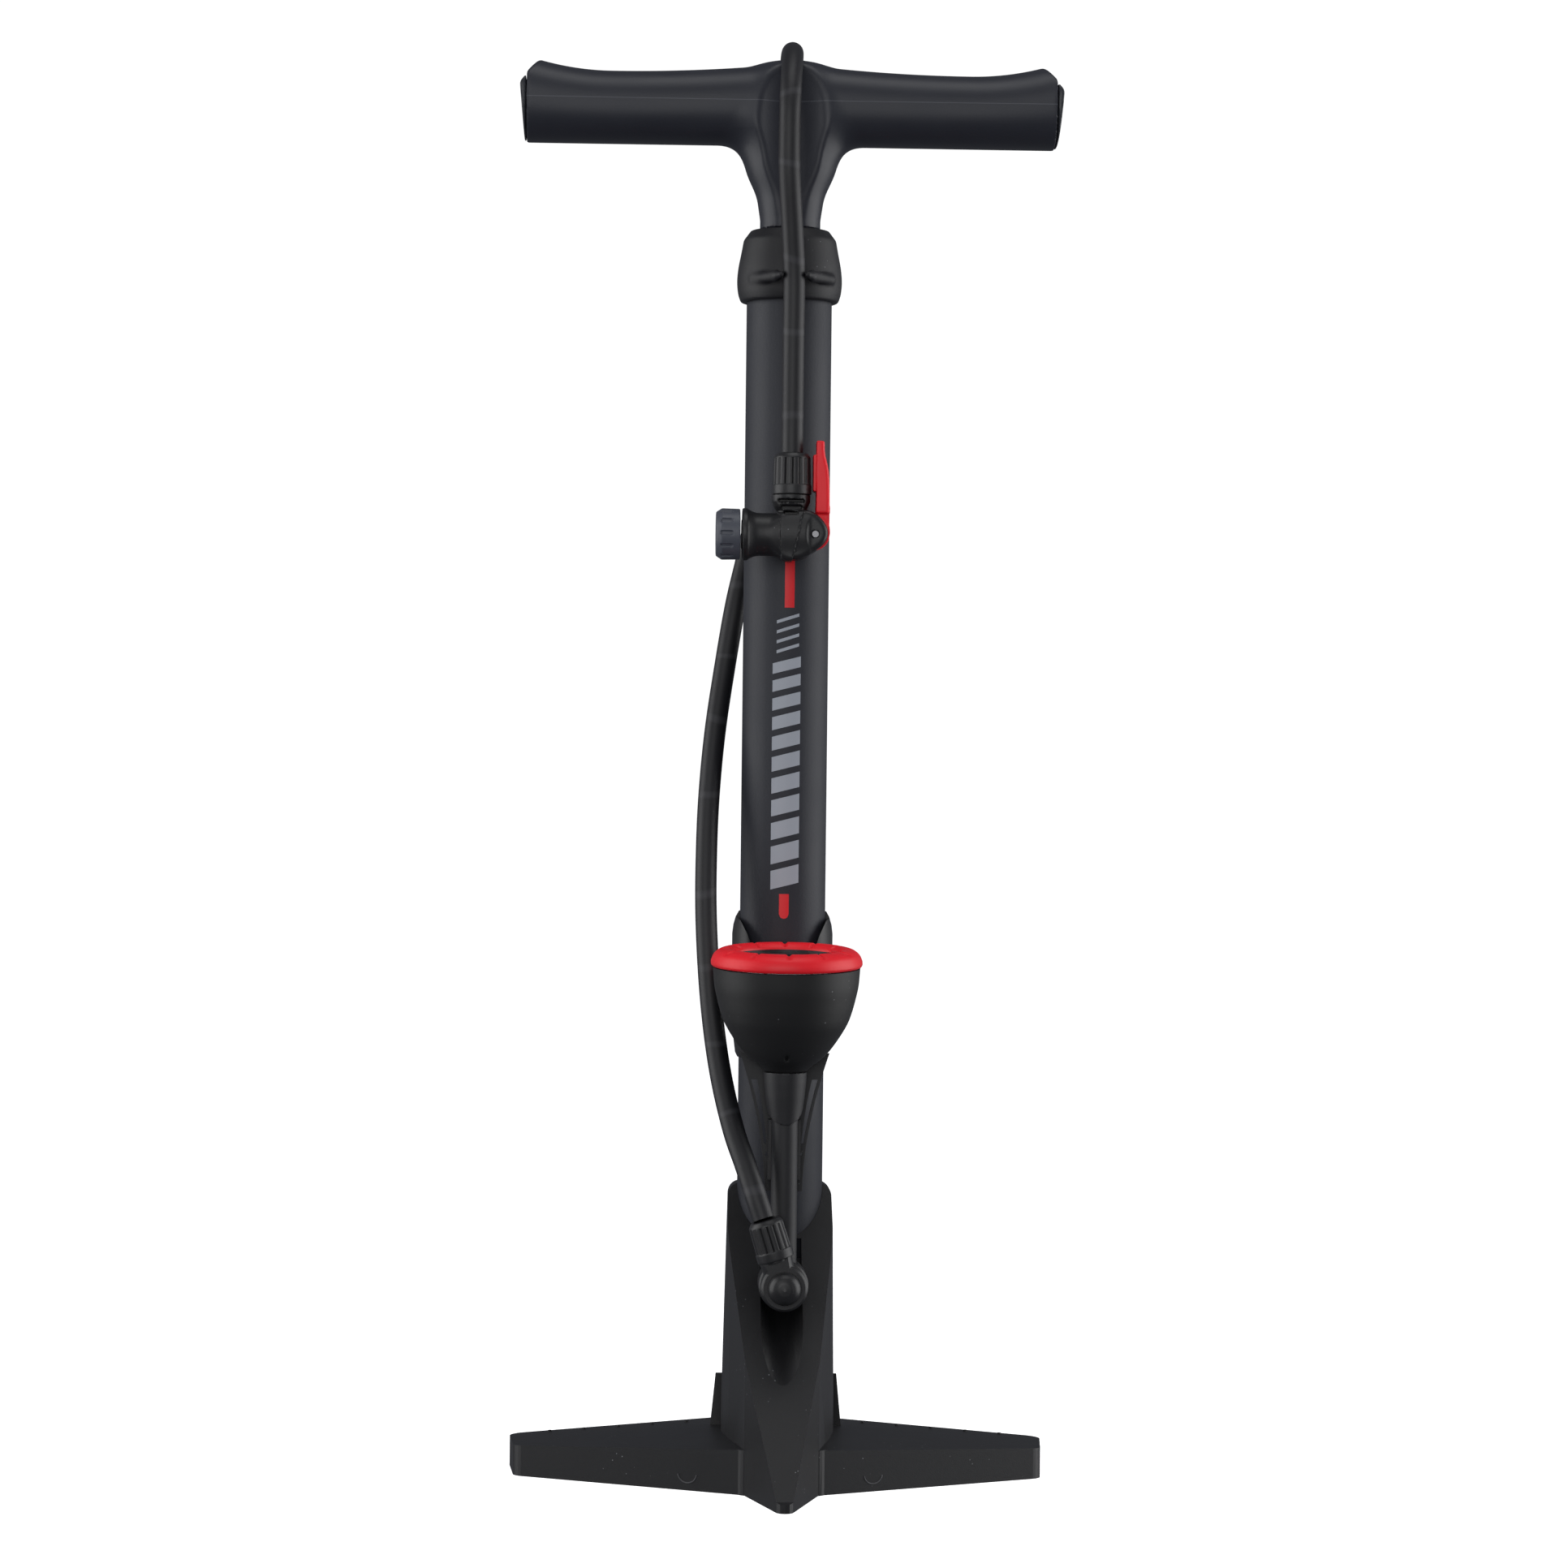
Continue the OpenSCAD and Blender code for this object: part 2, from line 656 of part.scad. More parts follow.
module gauge_bracket() color("#1b1b1d") {
    plate = gauge_reach - 10;
    difference() {
        union() {
            on_axis() rotate_extrude() polygon([[barrel_r + running, 186], [19.6, 186],
                [20.6, 188], [22.4, 202], [22.4, 241], [21.9, 245], [20.9, 248.5], [19.5, 251],
                [barrel_r + running, 251]]);
            front_outline(plate, plate + 2) web_front();
            // Rib that carries the plate from the barrel
            front_outline(barrel_r - 6, plate + 1)
                polygon([[-5, web_low_z], [5, web_low_z], [6, 165], [11, 200], [-11, 200],
                    [-6, 165]]);
            // Saddle behind the stem
            front_outline(plate, gauge_reach - 1) polygon([[-saddle_half, 136], [saddle_half, 136],
                [saddle_half, 162], [-saddle_half, 162]]);
            // Screw lug at the back of the collar
            at(0, -barrel_r, screw_z) translate([-6, 0, -7]) cube([12, 7, 14]);
        }
        on_axis() translate([0, 0, 100]) cylinder(r = barrel_r + running, h = 200);
        at(0, gauge_reach, 100) cylinder(r = stem_r + running, h = 200);
        // Room under the bowl
        at_gauge() rotate_extrude()
            polygon([[0, 183.4], [9.8, 183.4], [17.4, 189.6], [22.2, 195.6], [27, 203.4],
                [29.2, 210], [32, 221], [32.4, bezel_z - 0.6], [bezel_d / 2 + 1, bezel_z - 0.6],
                [bezel_d / 2 + 1, 260], [0, 260]]);
        // The collar is open in front: its two ears curve back round the barrel as they rise
        front_outline(0, barrel_r + 10) polygon([[-11, 224], [11, 224], [13.5, 234], [16, 241],
            [19, 247], [26, 252], [-26, 252], [-19, 247], [-16, 241], [-13.5, 234]]);
        // Room for the collar under the bowl
        at(0, gauge_reach, 165) cylinder(r = 10, h = 30);
        at(0, -32, screw_z) along_front() cylinder(r = 1.9, h = 14);
    }
}

module bracket_screw() color("silver") {
    at(0, -26.2, screw_z) along_front() {
        translate([0, 0, -2]) cylinder(r = 3.4, h = 2);
        cylinder(r = 1.8, h = 6.8);
    }
}

// ---- barrel and cap ----

module barrel() color("#2a2b30") {
    on_axis() ring(barrel_r, bore_r, barrel_foot_z, barrel_top_z);
}

// Two prongs that snap round the hose
module hose_clip() {
    arm = 5.6;
    at(head_x, 0, clip_z - arm / 2) linear_extrude(arm) mirror([0, 1]) difference() {
        polygon([[-17, 12], [17, 12], [8.4, head_reach + 1], [6.4, head_reach + 4.6],
            [3.4, head_reach + 5.6], [-3.4, head_reach + 5.6], [-6.4, head_reach + 4.6],
            [-8.4, head_reach + 1]]);
        translate([0, head_reach + 0.2]) circle(hose_r + 0.1);
        translate([-3.4, head_reach]) square([6.8, 10]);
    }
}

module top_cap() color("#18181a") {
    difference() {
        union() {
            on_axis() rotate_extrude() polygon([[0, cap_z], [20.8, cap_z], [22, cap_z + 0.8],
                [23, cap_z + 3.6], [23.5, cap_z + 8.5], [23.1, cap_z + 14], [21.6, cap_z + 22],
                [20.6, cap_z + 28], [19.8, cap_z + 29.4], [17.4, cap_top_z], [0, cap_top_z]]);
            hose_clip();
        }
        on_axis() {
            translate([0, 0, cap_z - 1]) cylinder(r = barrel_r + running, h = barrel_top_z - cap_z + 1);
            translate([0, 0, cap_z]) cylinder(r = 13, h = 50);
        }
    }
}

module guide_bush() color("#3a3a3e") {
    on_axis() rotate_extrude() polygon([[rod_r + running, guide_z], [bore_r - running, guide_z],
        [bore_r - running, barrel_top_z], [12.9, barrel_top_z], [12.9, cap_top_z - 0.4],
        [rod_r + running, cap_top_z - 0.4]]);
}

// ---- valve head ----

module at_head() {
    at(head_x, head_reach, head_z) children();
}

module hose_nut_upper() color("#1c1c1f") {
    at_head() translate([0, 0, 17.6]) hand_nut(8.6, 18.2, 4.6, 14);
}

module head_neck() color("#18181a") {
    at_head() difference() {
        union() {
            rotate_extrude() polygon([[0, 9.6], [5.8, 9.6], [7.4, 12], [8.6, 15], [8.7, 17.4],
                [4.4, 17.4], [4.4, 34], [0, 34]]);
        }
        cylinder(r = 1.8, h = 40);
        for (k = [0 : 2])
            translate([-(5.4 - 1.3 * k), -9.4, 15 - 2.6 * k]) cube([2 * (5.4 - 1.3 * k), 3, 1.3]);
    }
}

module head_body() color("#18181a") {
    px = lever_pivot_x;
    at_head() difference() {
        union() {
            // Turned part from the threaded end to the middle
            along_x() rotate_extrude() polygon([[0, -21.6], [11.3, -21.6], [11.3, -19.4],
                [10.6, -18.2], [9.7, -16], [9.4, -13], [9.4, 4], [0, 4]]);
            // Housing round the lever's cam
            translate([0, 8.6, 0]) rotate([90, 0, 0]) linear_extrude(17.2) {
                polygon([[-3, -9.4], [1, -11], [6, -11], [11, -8.9], [14, -5.8], [16.1, -1], [16, 2],
                    [15, 5.6], [12.6, 8], [9, 8.3], [-3, 9.2]]);
            }
            translate([0, 0, 4]) cylinder(r = 5.8, h = 5.55);
            // Strap over the front
            translate([-2.6, -9.9, -11.2]) cube([5.2, 3, 19]);
        }
        // Bore for the plunger
        along_x() translate([0, 0, -30]) cylinder(r = 6.6, h = 36);
        // Slot and swing room for the lever
        translate([px, 4.8, 0]) rotate([90, 0, 0]) cylinder(r = 7.9, h = 9.6);
        translate([px - 7.9, -4.8, 0]) cube([20, 9.6, 30]);
        translate([px, -4.8, -7.9]) cube([20, 9.6, 30]);
        translate([px, 20, 0]) rotate([90, 0, 0]) cylinder(r = 1.5, h = 40);
        cylinder(r = 1.8, h = 40);
    }
}

module lever_pin() color("silver") {
    at_head() translate([lever_pivot_x, 8.9, 0]) rotate([90, 0, 0]) cylinder(r = 1.45, h = 17.8);
}

module head_lever() color("#d0101a") {
    at_head() translate([lever_pivot_x, 0, 0]) difference() {
        union() {
            // Cam between the cheeks
            translate([0, 4.5, 0]) rotate([90, 0, 0]) linear_extrude(9)
                polygon([[-4.8, 0], [-4.6, -2.2], [-3.5, -4.3], [-1.6, -5.9], [0, -6.6], [2, -6.7],
                    [3.9, -6.2], [5.6, -4.6], [6.6, -1.5], [6.8, 6], [6.6, 16], [1.4, 16],
                    [0.4, 8.4], [-1.5, 5.6], [-4.5, 2]]);
            // Thumb arm
            translate([0, 6.4, 0]) rotate([90, 0, 0]) linear_extrude(12.8)
                polygon([[1.2, 9.4], [6.8, 9.4], [6.7, 16], [5.6, 24], [4, 31], [3.7, 42],
                    [1.2, 42], [0.9, 30], [0.9, 18]]);
        }
        translate([0, 20, 0]) rotate([90, 0, 0]) cylinder(r = 1.5, h = 40);
    }
}

module head_plunger() color("#3a3a3e") {
    at_head() along_x() difference() {
        union() {
            translate([0, 0, -22]) cylinder(r = 6.3, h = 4);
            translate([0, 0, -22]) cylinder(r = 4.6, h = 26);
            translate([0, 0, -1]) cylinder(r = 6.3, h = 6.2);
        }
        translate([0, 0, -23]) cylinder(r = 1.6, h = 18);
        translate([0, 0, -6]) rotate([0, 90, 0]) cylinder(r = 1.4, h = 20, center = true);
    }
}

module plunger_seal() color("#0c0c0c") {
    at_head() along_x() translate([0, 0, -16.6]) o_ring(5.5, 0.85);
}

module valve_gland() color("#26262a") {
    at_head() along_x() rotate_extrude()
        polygon([[4, -29.8], [7.6, -29.8], [7.8, -24.6], [3.2, -24.6], [3.2, -26.5]]);
}

module valve_cap_nut() color("#4a4d57") {
    at_head() along_x() difference() {
        rotate_extrude() polygon([[4.3, -33.2], [9.6, -33.2], [10.9, -31.6], [11.1, -30],
            [11.1, -22.6], [8.1, -22.6], [8.1, -30], [4.3, -30]]);
        for (k = [0 : 11])
            rotate([0, 0, 30 * k + 15]) translate([10.5, -0.8, -31]) cube([2, 1.6, 6]);
    }
}

// ---- plunger ----

module piston_rod() color("silver") {
    shoulder_z = piston_z + piston_h - 6;
    difference() {
        on_axis() translate([0, 0, shoulder_z]) cylinder(r = rod_r, h = rod_top_z - shoulder_z);
        at(0, -20, pin_z) along_front() cylinder(r = pin_r + running, h = 40);
    }
    on_axis() translate([0, 0, piston_z - 1]) cylinder(r = 3, h = piston_h);
}

module piston() color("#3a3a3e") {
    r = bore_r - clear;
    on_axis() difference() {
        translate([0, 0, piston_z + 3]) cylinder(r = r, h = piston_h - 3);
        translate([0, 0, piston_z + 7]) ring(20, r - 2.6, 0, 3.2);
        translate([0, 0, piston_z]) cylinder(r = 3.02, h = 40);
        translate([0, 0, piston_z + piston_h - 6]) cylinder(r = rod_r + 0.02, h = 20);
    }
}

module piston_seal() color("#0c0c0c") {
    on_axis() translate([0, 0, piston_z + 7.2]) ring(bore_r - running, bore_r - 2.8, 0, 2.8);
}

module piston_washer() color("silver") {
    on_axis() ring(12, 3.02, piston_z + 1.8, piston_z + 3);
}

module piston_nut() color("silver") {
    on_axis() translate([0, 0, piston_z - 1]) difference() {
        cylinder(r = 5.6, h = 2.8, $fn = 6);
        translate([0, 0, -1]) cylinder(r = 3.02, h = 6);
    }
}

module rod_bumper() color("#26262a") {
    on_axis() ring(10, rod_r + 0.02, piston_z + piston_h, piston_z + piston_h + bumper_h);
}

// Front view of the grip: straight below, hollowed on top and peaked at both ends
module grip_front() {
    l = handle_l / 2;
    b = grip_bottom_z;
    arc_r = 340;
    sag_x = 62;
    difference() {
        polygon([[-l, b], [l, b], [l + 0.6, b + 12], [l + 0.9, b + 24], [l - 5, b + 36.8],
            [-l + 5, b + 36.8], [-l - 0.9, b + 24], [-l - 0.6, b + 12]]);
        for (side = [-1, 1])
            translate([side * sag_x, b + grip_t + arc_r]) circle(arc_r, $fn = 360);
    }
}

module handle() color("#2c2d33") {
    mid_z = grip_bottom_z + 18.4;
    difference() {
        union() {
            intersection() {
                front_outline(-20, 20) grip_front();
                at(0, 0, mid_z) along_x() cylinder(r = 18.4, h = 300, center = true);
            }
            on_axis() rotate_extrude() polygon([[0, neck_z], [13.6, neck_z], [13.6, neck_z + 4.4],
                [13, neck_z + 5], [14.6, 568], [19, 585.5], [20.5, 594], [20.5, 606], [19, 616],
                [14.5, 624], [8, 628.2], [0, 629.4]]);
        }
        // Socket for the rod and the hole for its pin
        on_axis() translate([0, 0, neck_z - 1]) cylinder(r = rod_r + 0.02, h = rod_top_z + 1 - neck_z);
        at(0, -40, pin_z) along_front() cylinder(r = pin_r + 0.02, h = 80);
        // Saddle that the hose lies in
        at(0, -40, 632.9) along_front() cylinder(r = hose_r + 0.2, h = 80);
        // Open ends for the plugs
        for (side = [-1, 1])
            at(side * (handle_l / 2 - 8), 0, mid_z - 2.2) rotate([0, side * 90, 0])
                cylinder(r = 12.6, h = 20);
    }
}

module handle_pin() color("silver") {
    half = 13.6;
    at(0, -half, pin_z) along_front() cylinder(r = pin_r, h = 2 * half);
}

module end_plug(side) {
    l = handle_l / 2;
    b = grip_bottom_z;
    intersection() {
        union() {
            at(side * (l - 7), 0, b + 16.2) rotate([0, side * 90, 0]) cylinder(r = 12.5, h = 8);
            front_outline(-18, 18) polygon([[side * (l + 0.05), b + 1.5], [side * (l + 0.7), b + 12],
                [side * (l + 1), b + 24], [side * (l - 0.2), b + 26.5], [side * (l + 3), b + 25],
                [side * (l + 2.4), b + 10], [side * (l + 1), b + 1.5]]);
        }
        at(0, 0, b + 16.4) along_x() cylinder(r = 16, h = 400, center = true);
    }
}

module end_plug_left() color("#26272c") {
    end_plug(-1);
}

module end_plug_right() color("#26272c") {
    end_plug(1);
}

// ---- hose ----

module hose_rear() color("#17171a") {
    hose(hose_rise, 2, [-sin(fitting_lean), 0, cos(fitting_lean)], [0, 0, 1]);
}

module hose_over_handle() color("#17171a") {
    hose(hose_crown, 2, [0, 0, 1], [0, 0, -1]);
}

module hose_front() color("#17171a") {
    hose(hose_drop, 2, [0, 0, -1], [0, 0, -1]);
}

foot();
foot_grip_studs();
foot_screws();
foot_plug();
foot_plug_seal();
check_ball();
check_spring();
barrel();
top_cap();
guide_bush();
gauge_bracket();
bracket_screw();
outlet_block();
outlet_seal();
stem_tube();
stem_seals();
stem_collar();
gauge_bowl();
gauge_socket();
bourdon_tube();
gauge_movement();
gauge_dial();
gauge_needle();
gauge_lens();
lens_retainer();
gauge_bezel();
target_marker();
banjo_body();
banjo_bolt();
banjo_washers();
hose_nut_lower();
hose_rear();
hose_over_handle();
hose_front();
hose_nut_upper();
head_neck();
head_body();
head_lever();
lever_pin();
head_plunger();
plunger_seal();
valve_gland();
valve_cap_nut();
piston_rod();
piston();
piston_seal();
piston_washer();
piston_nut();
rod_bumper();
handle();
handle_pin();
end_plug_left();
end_plug_right();
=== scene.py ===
import math

import bmesh
import bpy
import numpy as np
from mathutils import Matrix, Vector


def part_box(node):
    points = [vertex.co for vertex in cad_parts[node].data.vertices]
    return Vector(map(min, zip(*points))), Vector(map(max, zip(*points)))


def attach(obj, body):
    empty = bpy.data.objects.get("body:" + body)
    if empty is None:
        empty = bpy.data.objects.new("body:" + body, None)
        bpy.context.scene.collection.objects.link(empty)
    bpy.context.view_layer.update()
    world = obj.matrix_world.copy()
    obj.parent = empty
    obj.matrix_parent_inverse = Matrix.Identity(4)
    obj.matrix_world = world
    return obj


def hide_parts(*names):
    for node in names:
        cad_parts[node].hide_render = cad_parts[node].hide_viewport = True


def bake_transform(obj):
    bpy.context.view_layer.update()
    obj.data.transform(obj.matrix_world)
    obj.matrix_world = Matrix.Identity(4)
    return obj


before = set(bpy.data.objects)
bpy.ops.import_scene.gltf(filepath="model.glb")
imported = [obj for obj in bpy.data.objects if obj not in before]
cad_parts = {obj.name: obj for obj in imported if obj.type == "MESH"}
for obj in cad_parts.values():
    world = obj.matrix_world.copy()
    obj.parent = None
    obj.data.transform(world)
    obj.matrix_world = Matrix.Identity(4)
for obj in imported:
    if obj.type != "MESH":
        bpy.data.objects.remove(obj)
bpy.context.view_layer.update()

MM = 0.001
barrel_low, barrel_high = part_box("barrel")
AXIS = (barrel_low + barrel_high) / 2
BARREL_R = (barrel_high.x - barrel_low.x) / 2 / MM


def centre_of(node_name):
    """The middle of a CAD node's box, in millimetres about the barrel's axis."""
    low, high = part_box(node_name)
    middle = (low + high) / 2
    return np.array([middle.x, middle.y - AXIS.y, middle.z]) / MM


def heights_of(node_name):
    """The lowest and the highest point of a CAD node, in millimetres above the floor."""
    low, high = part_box(node_name)
    return low.z / MM, high.z / MM


def placed(points):
    """Millimetres about the barrel's axis, as metres in the row frame."""
    return np.asarray(points, float) * MM + np.array([0, AXIS.y, 0])


# ---- camera, floor and light ----

def add_camera():
    """A level camera in front, with the small turn and roll of the photograph."""
    distance = 1.950
    height = 0.3076
    turn = math.radians(2)
    roll = math.radians(0.63)
    data = bpy.data.cameras.new("camera")
    data.lens = 100.4  # focal length in millimetres, on a sensor 36 mm wide
    data.sensor_width = 36
    camera = bpy.data.objects.new("camera", data)
    bpy.context.scene.collection.objects.link(camera)
    look = Vector((math.sin(turn), math.cos(turn), 0))
    target = Vector((AXIS.x, AXIS.y, height))
    upright = look.to_track_quat("-Z", "Y").to_matrix()
    turned_camera = upright @ Matrix.Rotation(roll, 3, "Z")
    camera.matrix_world = Matrix.Translation(target - distance * look) @ turned_camera.to_4x4()
    bpy.context.scene.camera = camera


def add_softbox(name, place, target, width, height, power):
    """A rectangular light that faces the target; sizes in metres and power in watts."""
    data = bpy.data.lights.new(name, "AREA")
    data.shape = "RECTANGLE"
    data.size = width
    data.size_y = height
    data.energy = power
    light = bpy.data.objects.new(name, data)
    light.location = place
    light.rotation_euler = (Vector(target) - Vector(place)).to_track_quat("-Z", "Y").to_euler()
    bpy.context.scene.collection.objects.link(light)


def add_studio():
    """Broad soft lights at both sides and in front, a weak one above, and a white background.
    The background is white to the camera only: the object gets a faint, cool share of it."""
    middle = (0, 0, 0.32)
    add_softbox("left_softbox", (-1.4, -0.05, 0.55), middle, 1.3, 1.6, 14)
    add_softbox("right_softbox", (1.4, 0.0, 0.45), middle, 1.4, 1.6, 17)
    add_softbox("top_softbox", (0.1, -0.3, 1.9), middle, 1.0, 0.8, 5)
    add_softbox("front_softbox", (-0.5, -2.6, 0.9), middle, 1.8, 1.8, 20)
    world = bpy.data.worlds.new("white_room")
    bpy.context.scene.world = world
    world.use_nodes = True
    tree = world.node_tree
    seen = tree.nodes.new("ShaderNodeBackground")
    seen.inputs["Color"].default_value = (1, 1, 1, 1)
    seen.inputs["Strength"].default_value = 1.05
    lighting = tree.nodes["Background"]
    lighting.inputs["Color"].default_value = (0.92, 0.96, 1.1, 1)
    lighting.inputs["Strength"].default_value = 0.13
    ray = tree.nodes.new("ShaderNodeLightPath")
    mix = tree.nodes.new("ShaderNodeMixShader")
    tree.links.new(ray.outputs["Is Camera Ray"], mix.inputs["Fac"])
    tree.links.new(lighting.outputs[0], mix.inputs[1])
    tree.links.new(seen.outputs[0], mix.inputs[2])
    tree.links.new(mix.outputs[0], tree.nodes["World Output"].inputs["Surface"])
    bpy.context.scene.view_settings.view_transform = "Standard"


def add_floor():
    """A pale floor that reaches the horizon. It glows as white as the background to the camera,
    and doesn't light the object."""
    reach = 30
    corners = [(-reach, -reach, 0), (reach, -reach, 0), (reach, reach, 0), (-reach, reach, 0)]
    mesh = bpy.data.meshes.new("floor")
    mesh.from_pydata(corners, [], [(0, 1, 2, 3)])
    material = bpy.data.materials.new("floor_paint")
    material.use_nodes = True
    surface = material.node_tree.nodes["Principled BSDF"]
    surface.inputs["Base Color"].default_value = (0.9, 0.9, 0.9, 1)
    surface.inputs["Roughness"].default_value = 0.9
    surface.inputs["Emission Color"].default_value = (1, 1, 1, 1)
    surface.inputs["Emission Strength"].default_value = 1.0
    mesh.materials.append(material)
    floor = bpy.data.objects.new("floor", mesh)
    floor.visible_diffuse = False
    floor.visible_glossy = False
    bpy.context.scene.collection.objects.link(floor)


# ---- materials ----

DUST_GREY = (0.35, 0.36, 0.38, 1)
# Colour of the painted highlight along parting lines
SEAM_HIGHLIGHT_GREY = (0.3, 0.32, 0.36, 1)
MARK_GREY = (0.09, 0.09, 0.1, 1)
CLOUDS_PER_METRE = 38.0
SPECKS_PER_METRE = 300.0


def add_node(tree, kind, inputs=None, **settings):
    """Adds a shader node; an input may be a value or another node's output."""
    new = tree.nodes.new(kind)
    for key, value in settings.items():
        setattr(new, key, value)
    for key, value in (inputs or {}).items():
        if isinstance(value, bpy.types.NodeSocket):
            tree.links.new(value, new.inputs[key])
        else:
            new.inputs[key].default_value = value
    return new


def shade(color, factor):
    """A colour made lighter or darker, with the opacity that a socket asks for."""
    return (color[0] * factor, color[1] * factor, color[2] * factor, 1)


def band_mask(tree, place, axis, middle, half):
    """1 within a thin band about one coordinate, 0 elsewhere; lengths in millimetres."""
    split = add_node(tree, "ShaderNodeSeparateXYZ", {"Vector": place})
    off = add_node(tree, "ShaderNodeMath", {0: split.outputs[axis], 1: middle * MM},
                   operation="SUBTRACT")
    size = add_node(tree, "ShaderNodeMath", {0: off.outputs[0]}, operation="ABSOLUTE")
    fade = add_node(tree, "ShaderNodeMapRange",
                    {"Value": size.outputs[0], "From Min": half * MM, "From Max": 1.8 * half * MM,
                     "To Min": 1.0, "To Max": 0.0})
    return fade.outputs[0]


def finish_of(name, color, roughness, grain=0.5, depth=0.02, mottle=0.15, specks=0.0,
              metallic=0.0, stretch=(1, 1, 1), seam=None):
    """A material with fine grain, cloudy tone and, where asked, dust specks and a parting line
    painted lighter, which is a painted highlight for the light on its ridge.
    grain and depth are the size and height of the surface grain in millimetres. mottle, specks
    and metallic are shares from 0 to 1. seam is an axis, a place on it and half the highlight line's
    width.
    """
    material = bpy.data.materials.new(name)
    material.use_nodes = True
    tree = material.node_tree
    surface = tree.nodes["Principled BSDF"]
    place = add_node(tree, "ShaderNodeTexCoord").outputs["Object"]
    spread = add_node(tree, "ShaderNodeMapping", {"Vector": place, "Scale": stretch}).outputs[0]
    fine = add_node(tree, "ShaderNodeTexNoise",
                    {"Vector": spread, "Scale": 1 / (grain * MM), "Detail": 2.0})
    cloud = add_node(tree, "ShaderNodeTexNoise",
                     {"Vector": place, "Scale": CLOUDS_PER_METRE, "Detail": 5.0})
    tone = add_node(tree, "ShaderNodeMixRGB",
                    {"Fac": cloud.outputs["Fac"], "Color1": shade(color, 1 - mottle),
                     "Color2": shade(color, 1 + mottle)}).outputs["Color"]
    if specks:
        dust = add_node(tree, "ShaderNodeTexVoronoi",
                        {"Vector": place, "Scale": SPECKS_PER_METRE})
        close = add_node(tree, "ShaderNodeMapRange",
                         {"Value": dust.outputs["Distance"], "From Min": 0.06, "From Max": 0.1,
                          "To Min": specks, "To Max": 0.0})
        rare = add_node(tree, "ShaderNodeMapRange",
                        {"Value": cloud.outputs["Fac"], "From Min": 0.52, "From Max": 0.62})
        amount = add_node(tree, "ShaderNodeMath", {0: close.outputs[0], 1: rare.outputs[0]},
                          operation="MULTIPLY")
        tone = add_node(tree, "ShaderNodeMixRGB",
                        {"Fac": amount.outputs[0], "Color1": tone,
                         "Color2": DUST_GREY}).outputs["Color"]
    # The parting line is painted a lighter grey: a painted highlight standing in for light on its
    # ridge
    if seam:
        line = band_mask(tree, place, *seam)
        strength = 0.16
        faint = add_node(tree, "ShaderNodeMath", {0: line, 1: strength}, operation="MULTIPLY")
        tone = add_node(tree, "ShaderNodeMixRGB",
                        {"Fac": faint.outputs[0], "Color1": tone,
                         "Color2": SEAM_HIGHLIGHT_GREY}).outputs["Color"]
    sway = 0.06
    gloss = add_node(tree, "ShaderNodeMapRange",
                     {"Value": cloud.outputs["Fac"], "To Min": roughness - sway,
                      "To Max": roughness + sway})
    bump = add_node(tree, "ShaderNodeBump",
                    {"Height": fine.outputs["Fac"], "Strength": 1.0, "Distance": depth * MM})
    tree.links.new(tone, surface.inputs["Base Color"])
    tree.links.new(gloss.outputs[0], surface.inputs["Roughness"])
    tree.links.new(bump.outputs[0], surface.inputs["Normal"])
    surface.inputs["Metallic"].default_value = metallic
    return material


def hose_rubber():
    """Satin black rubber with faint, uneven moulding marks across it."""
    material = finish_of("hose_rubber", (0.009, 0.009, 0.011), 0.50, grain=0.6, depth=0.012,
                         mottle=0.2, specks=0.12)
    tree = material.node_tree
    surface = tree.nodes["Principled BSDF"]
    place = add_node(tree, "ShaderNodeTexCoord").outputs["Object"]
    rings = add_node(tree, "ShaderNodeTexWave",
                     {"Vector": place, "Scale": 9.0, "Distortion": 5.0, "Detail": 2.0},
                     bands_direction="Z")
    thin = add_node(tree, "ShaderNodeMapRange",
                    {"Value": rings.outputs["Fac"], "From Min": 0.97, "From Max": 1.0,
                     "To Min": 0.0, "To Max": 0.25})
    tone = surface.inputs["Base Color"].links[0].from_socket
    marked = add_node(tree, "ShaderNodeMixRGB", {"Fac": thin.outputs[0], "Color1": tone,
                                                 "Color2": MARK_GREY})
    tree.links.new(marked.outputs["Color"], surface.inputs["Base Color"])
    return material


def clear_lens():
    """Clear acrylic for the gauge's lens."""
    material = finish_of("clear_lens", (0.9, 0.93, 0.95), 0.08, grain=4.0, depth=0.004)
    surface = material.node_tree.nodes["Principled BSDF"]
    surface.inputs["Transmission Weight"].default_value = 1.0
    surface.inputs["IOR"].default_value = 1.49
    return material


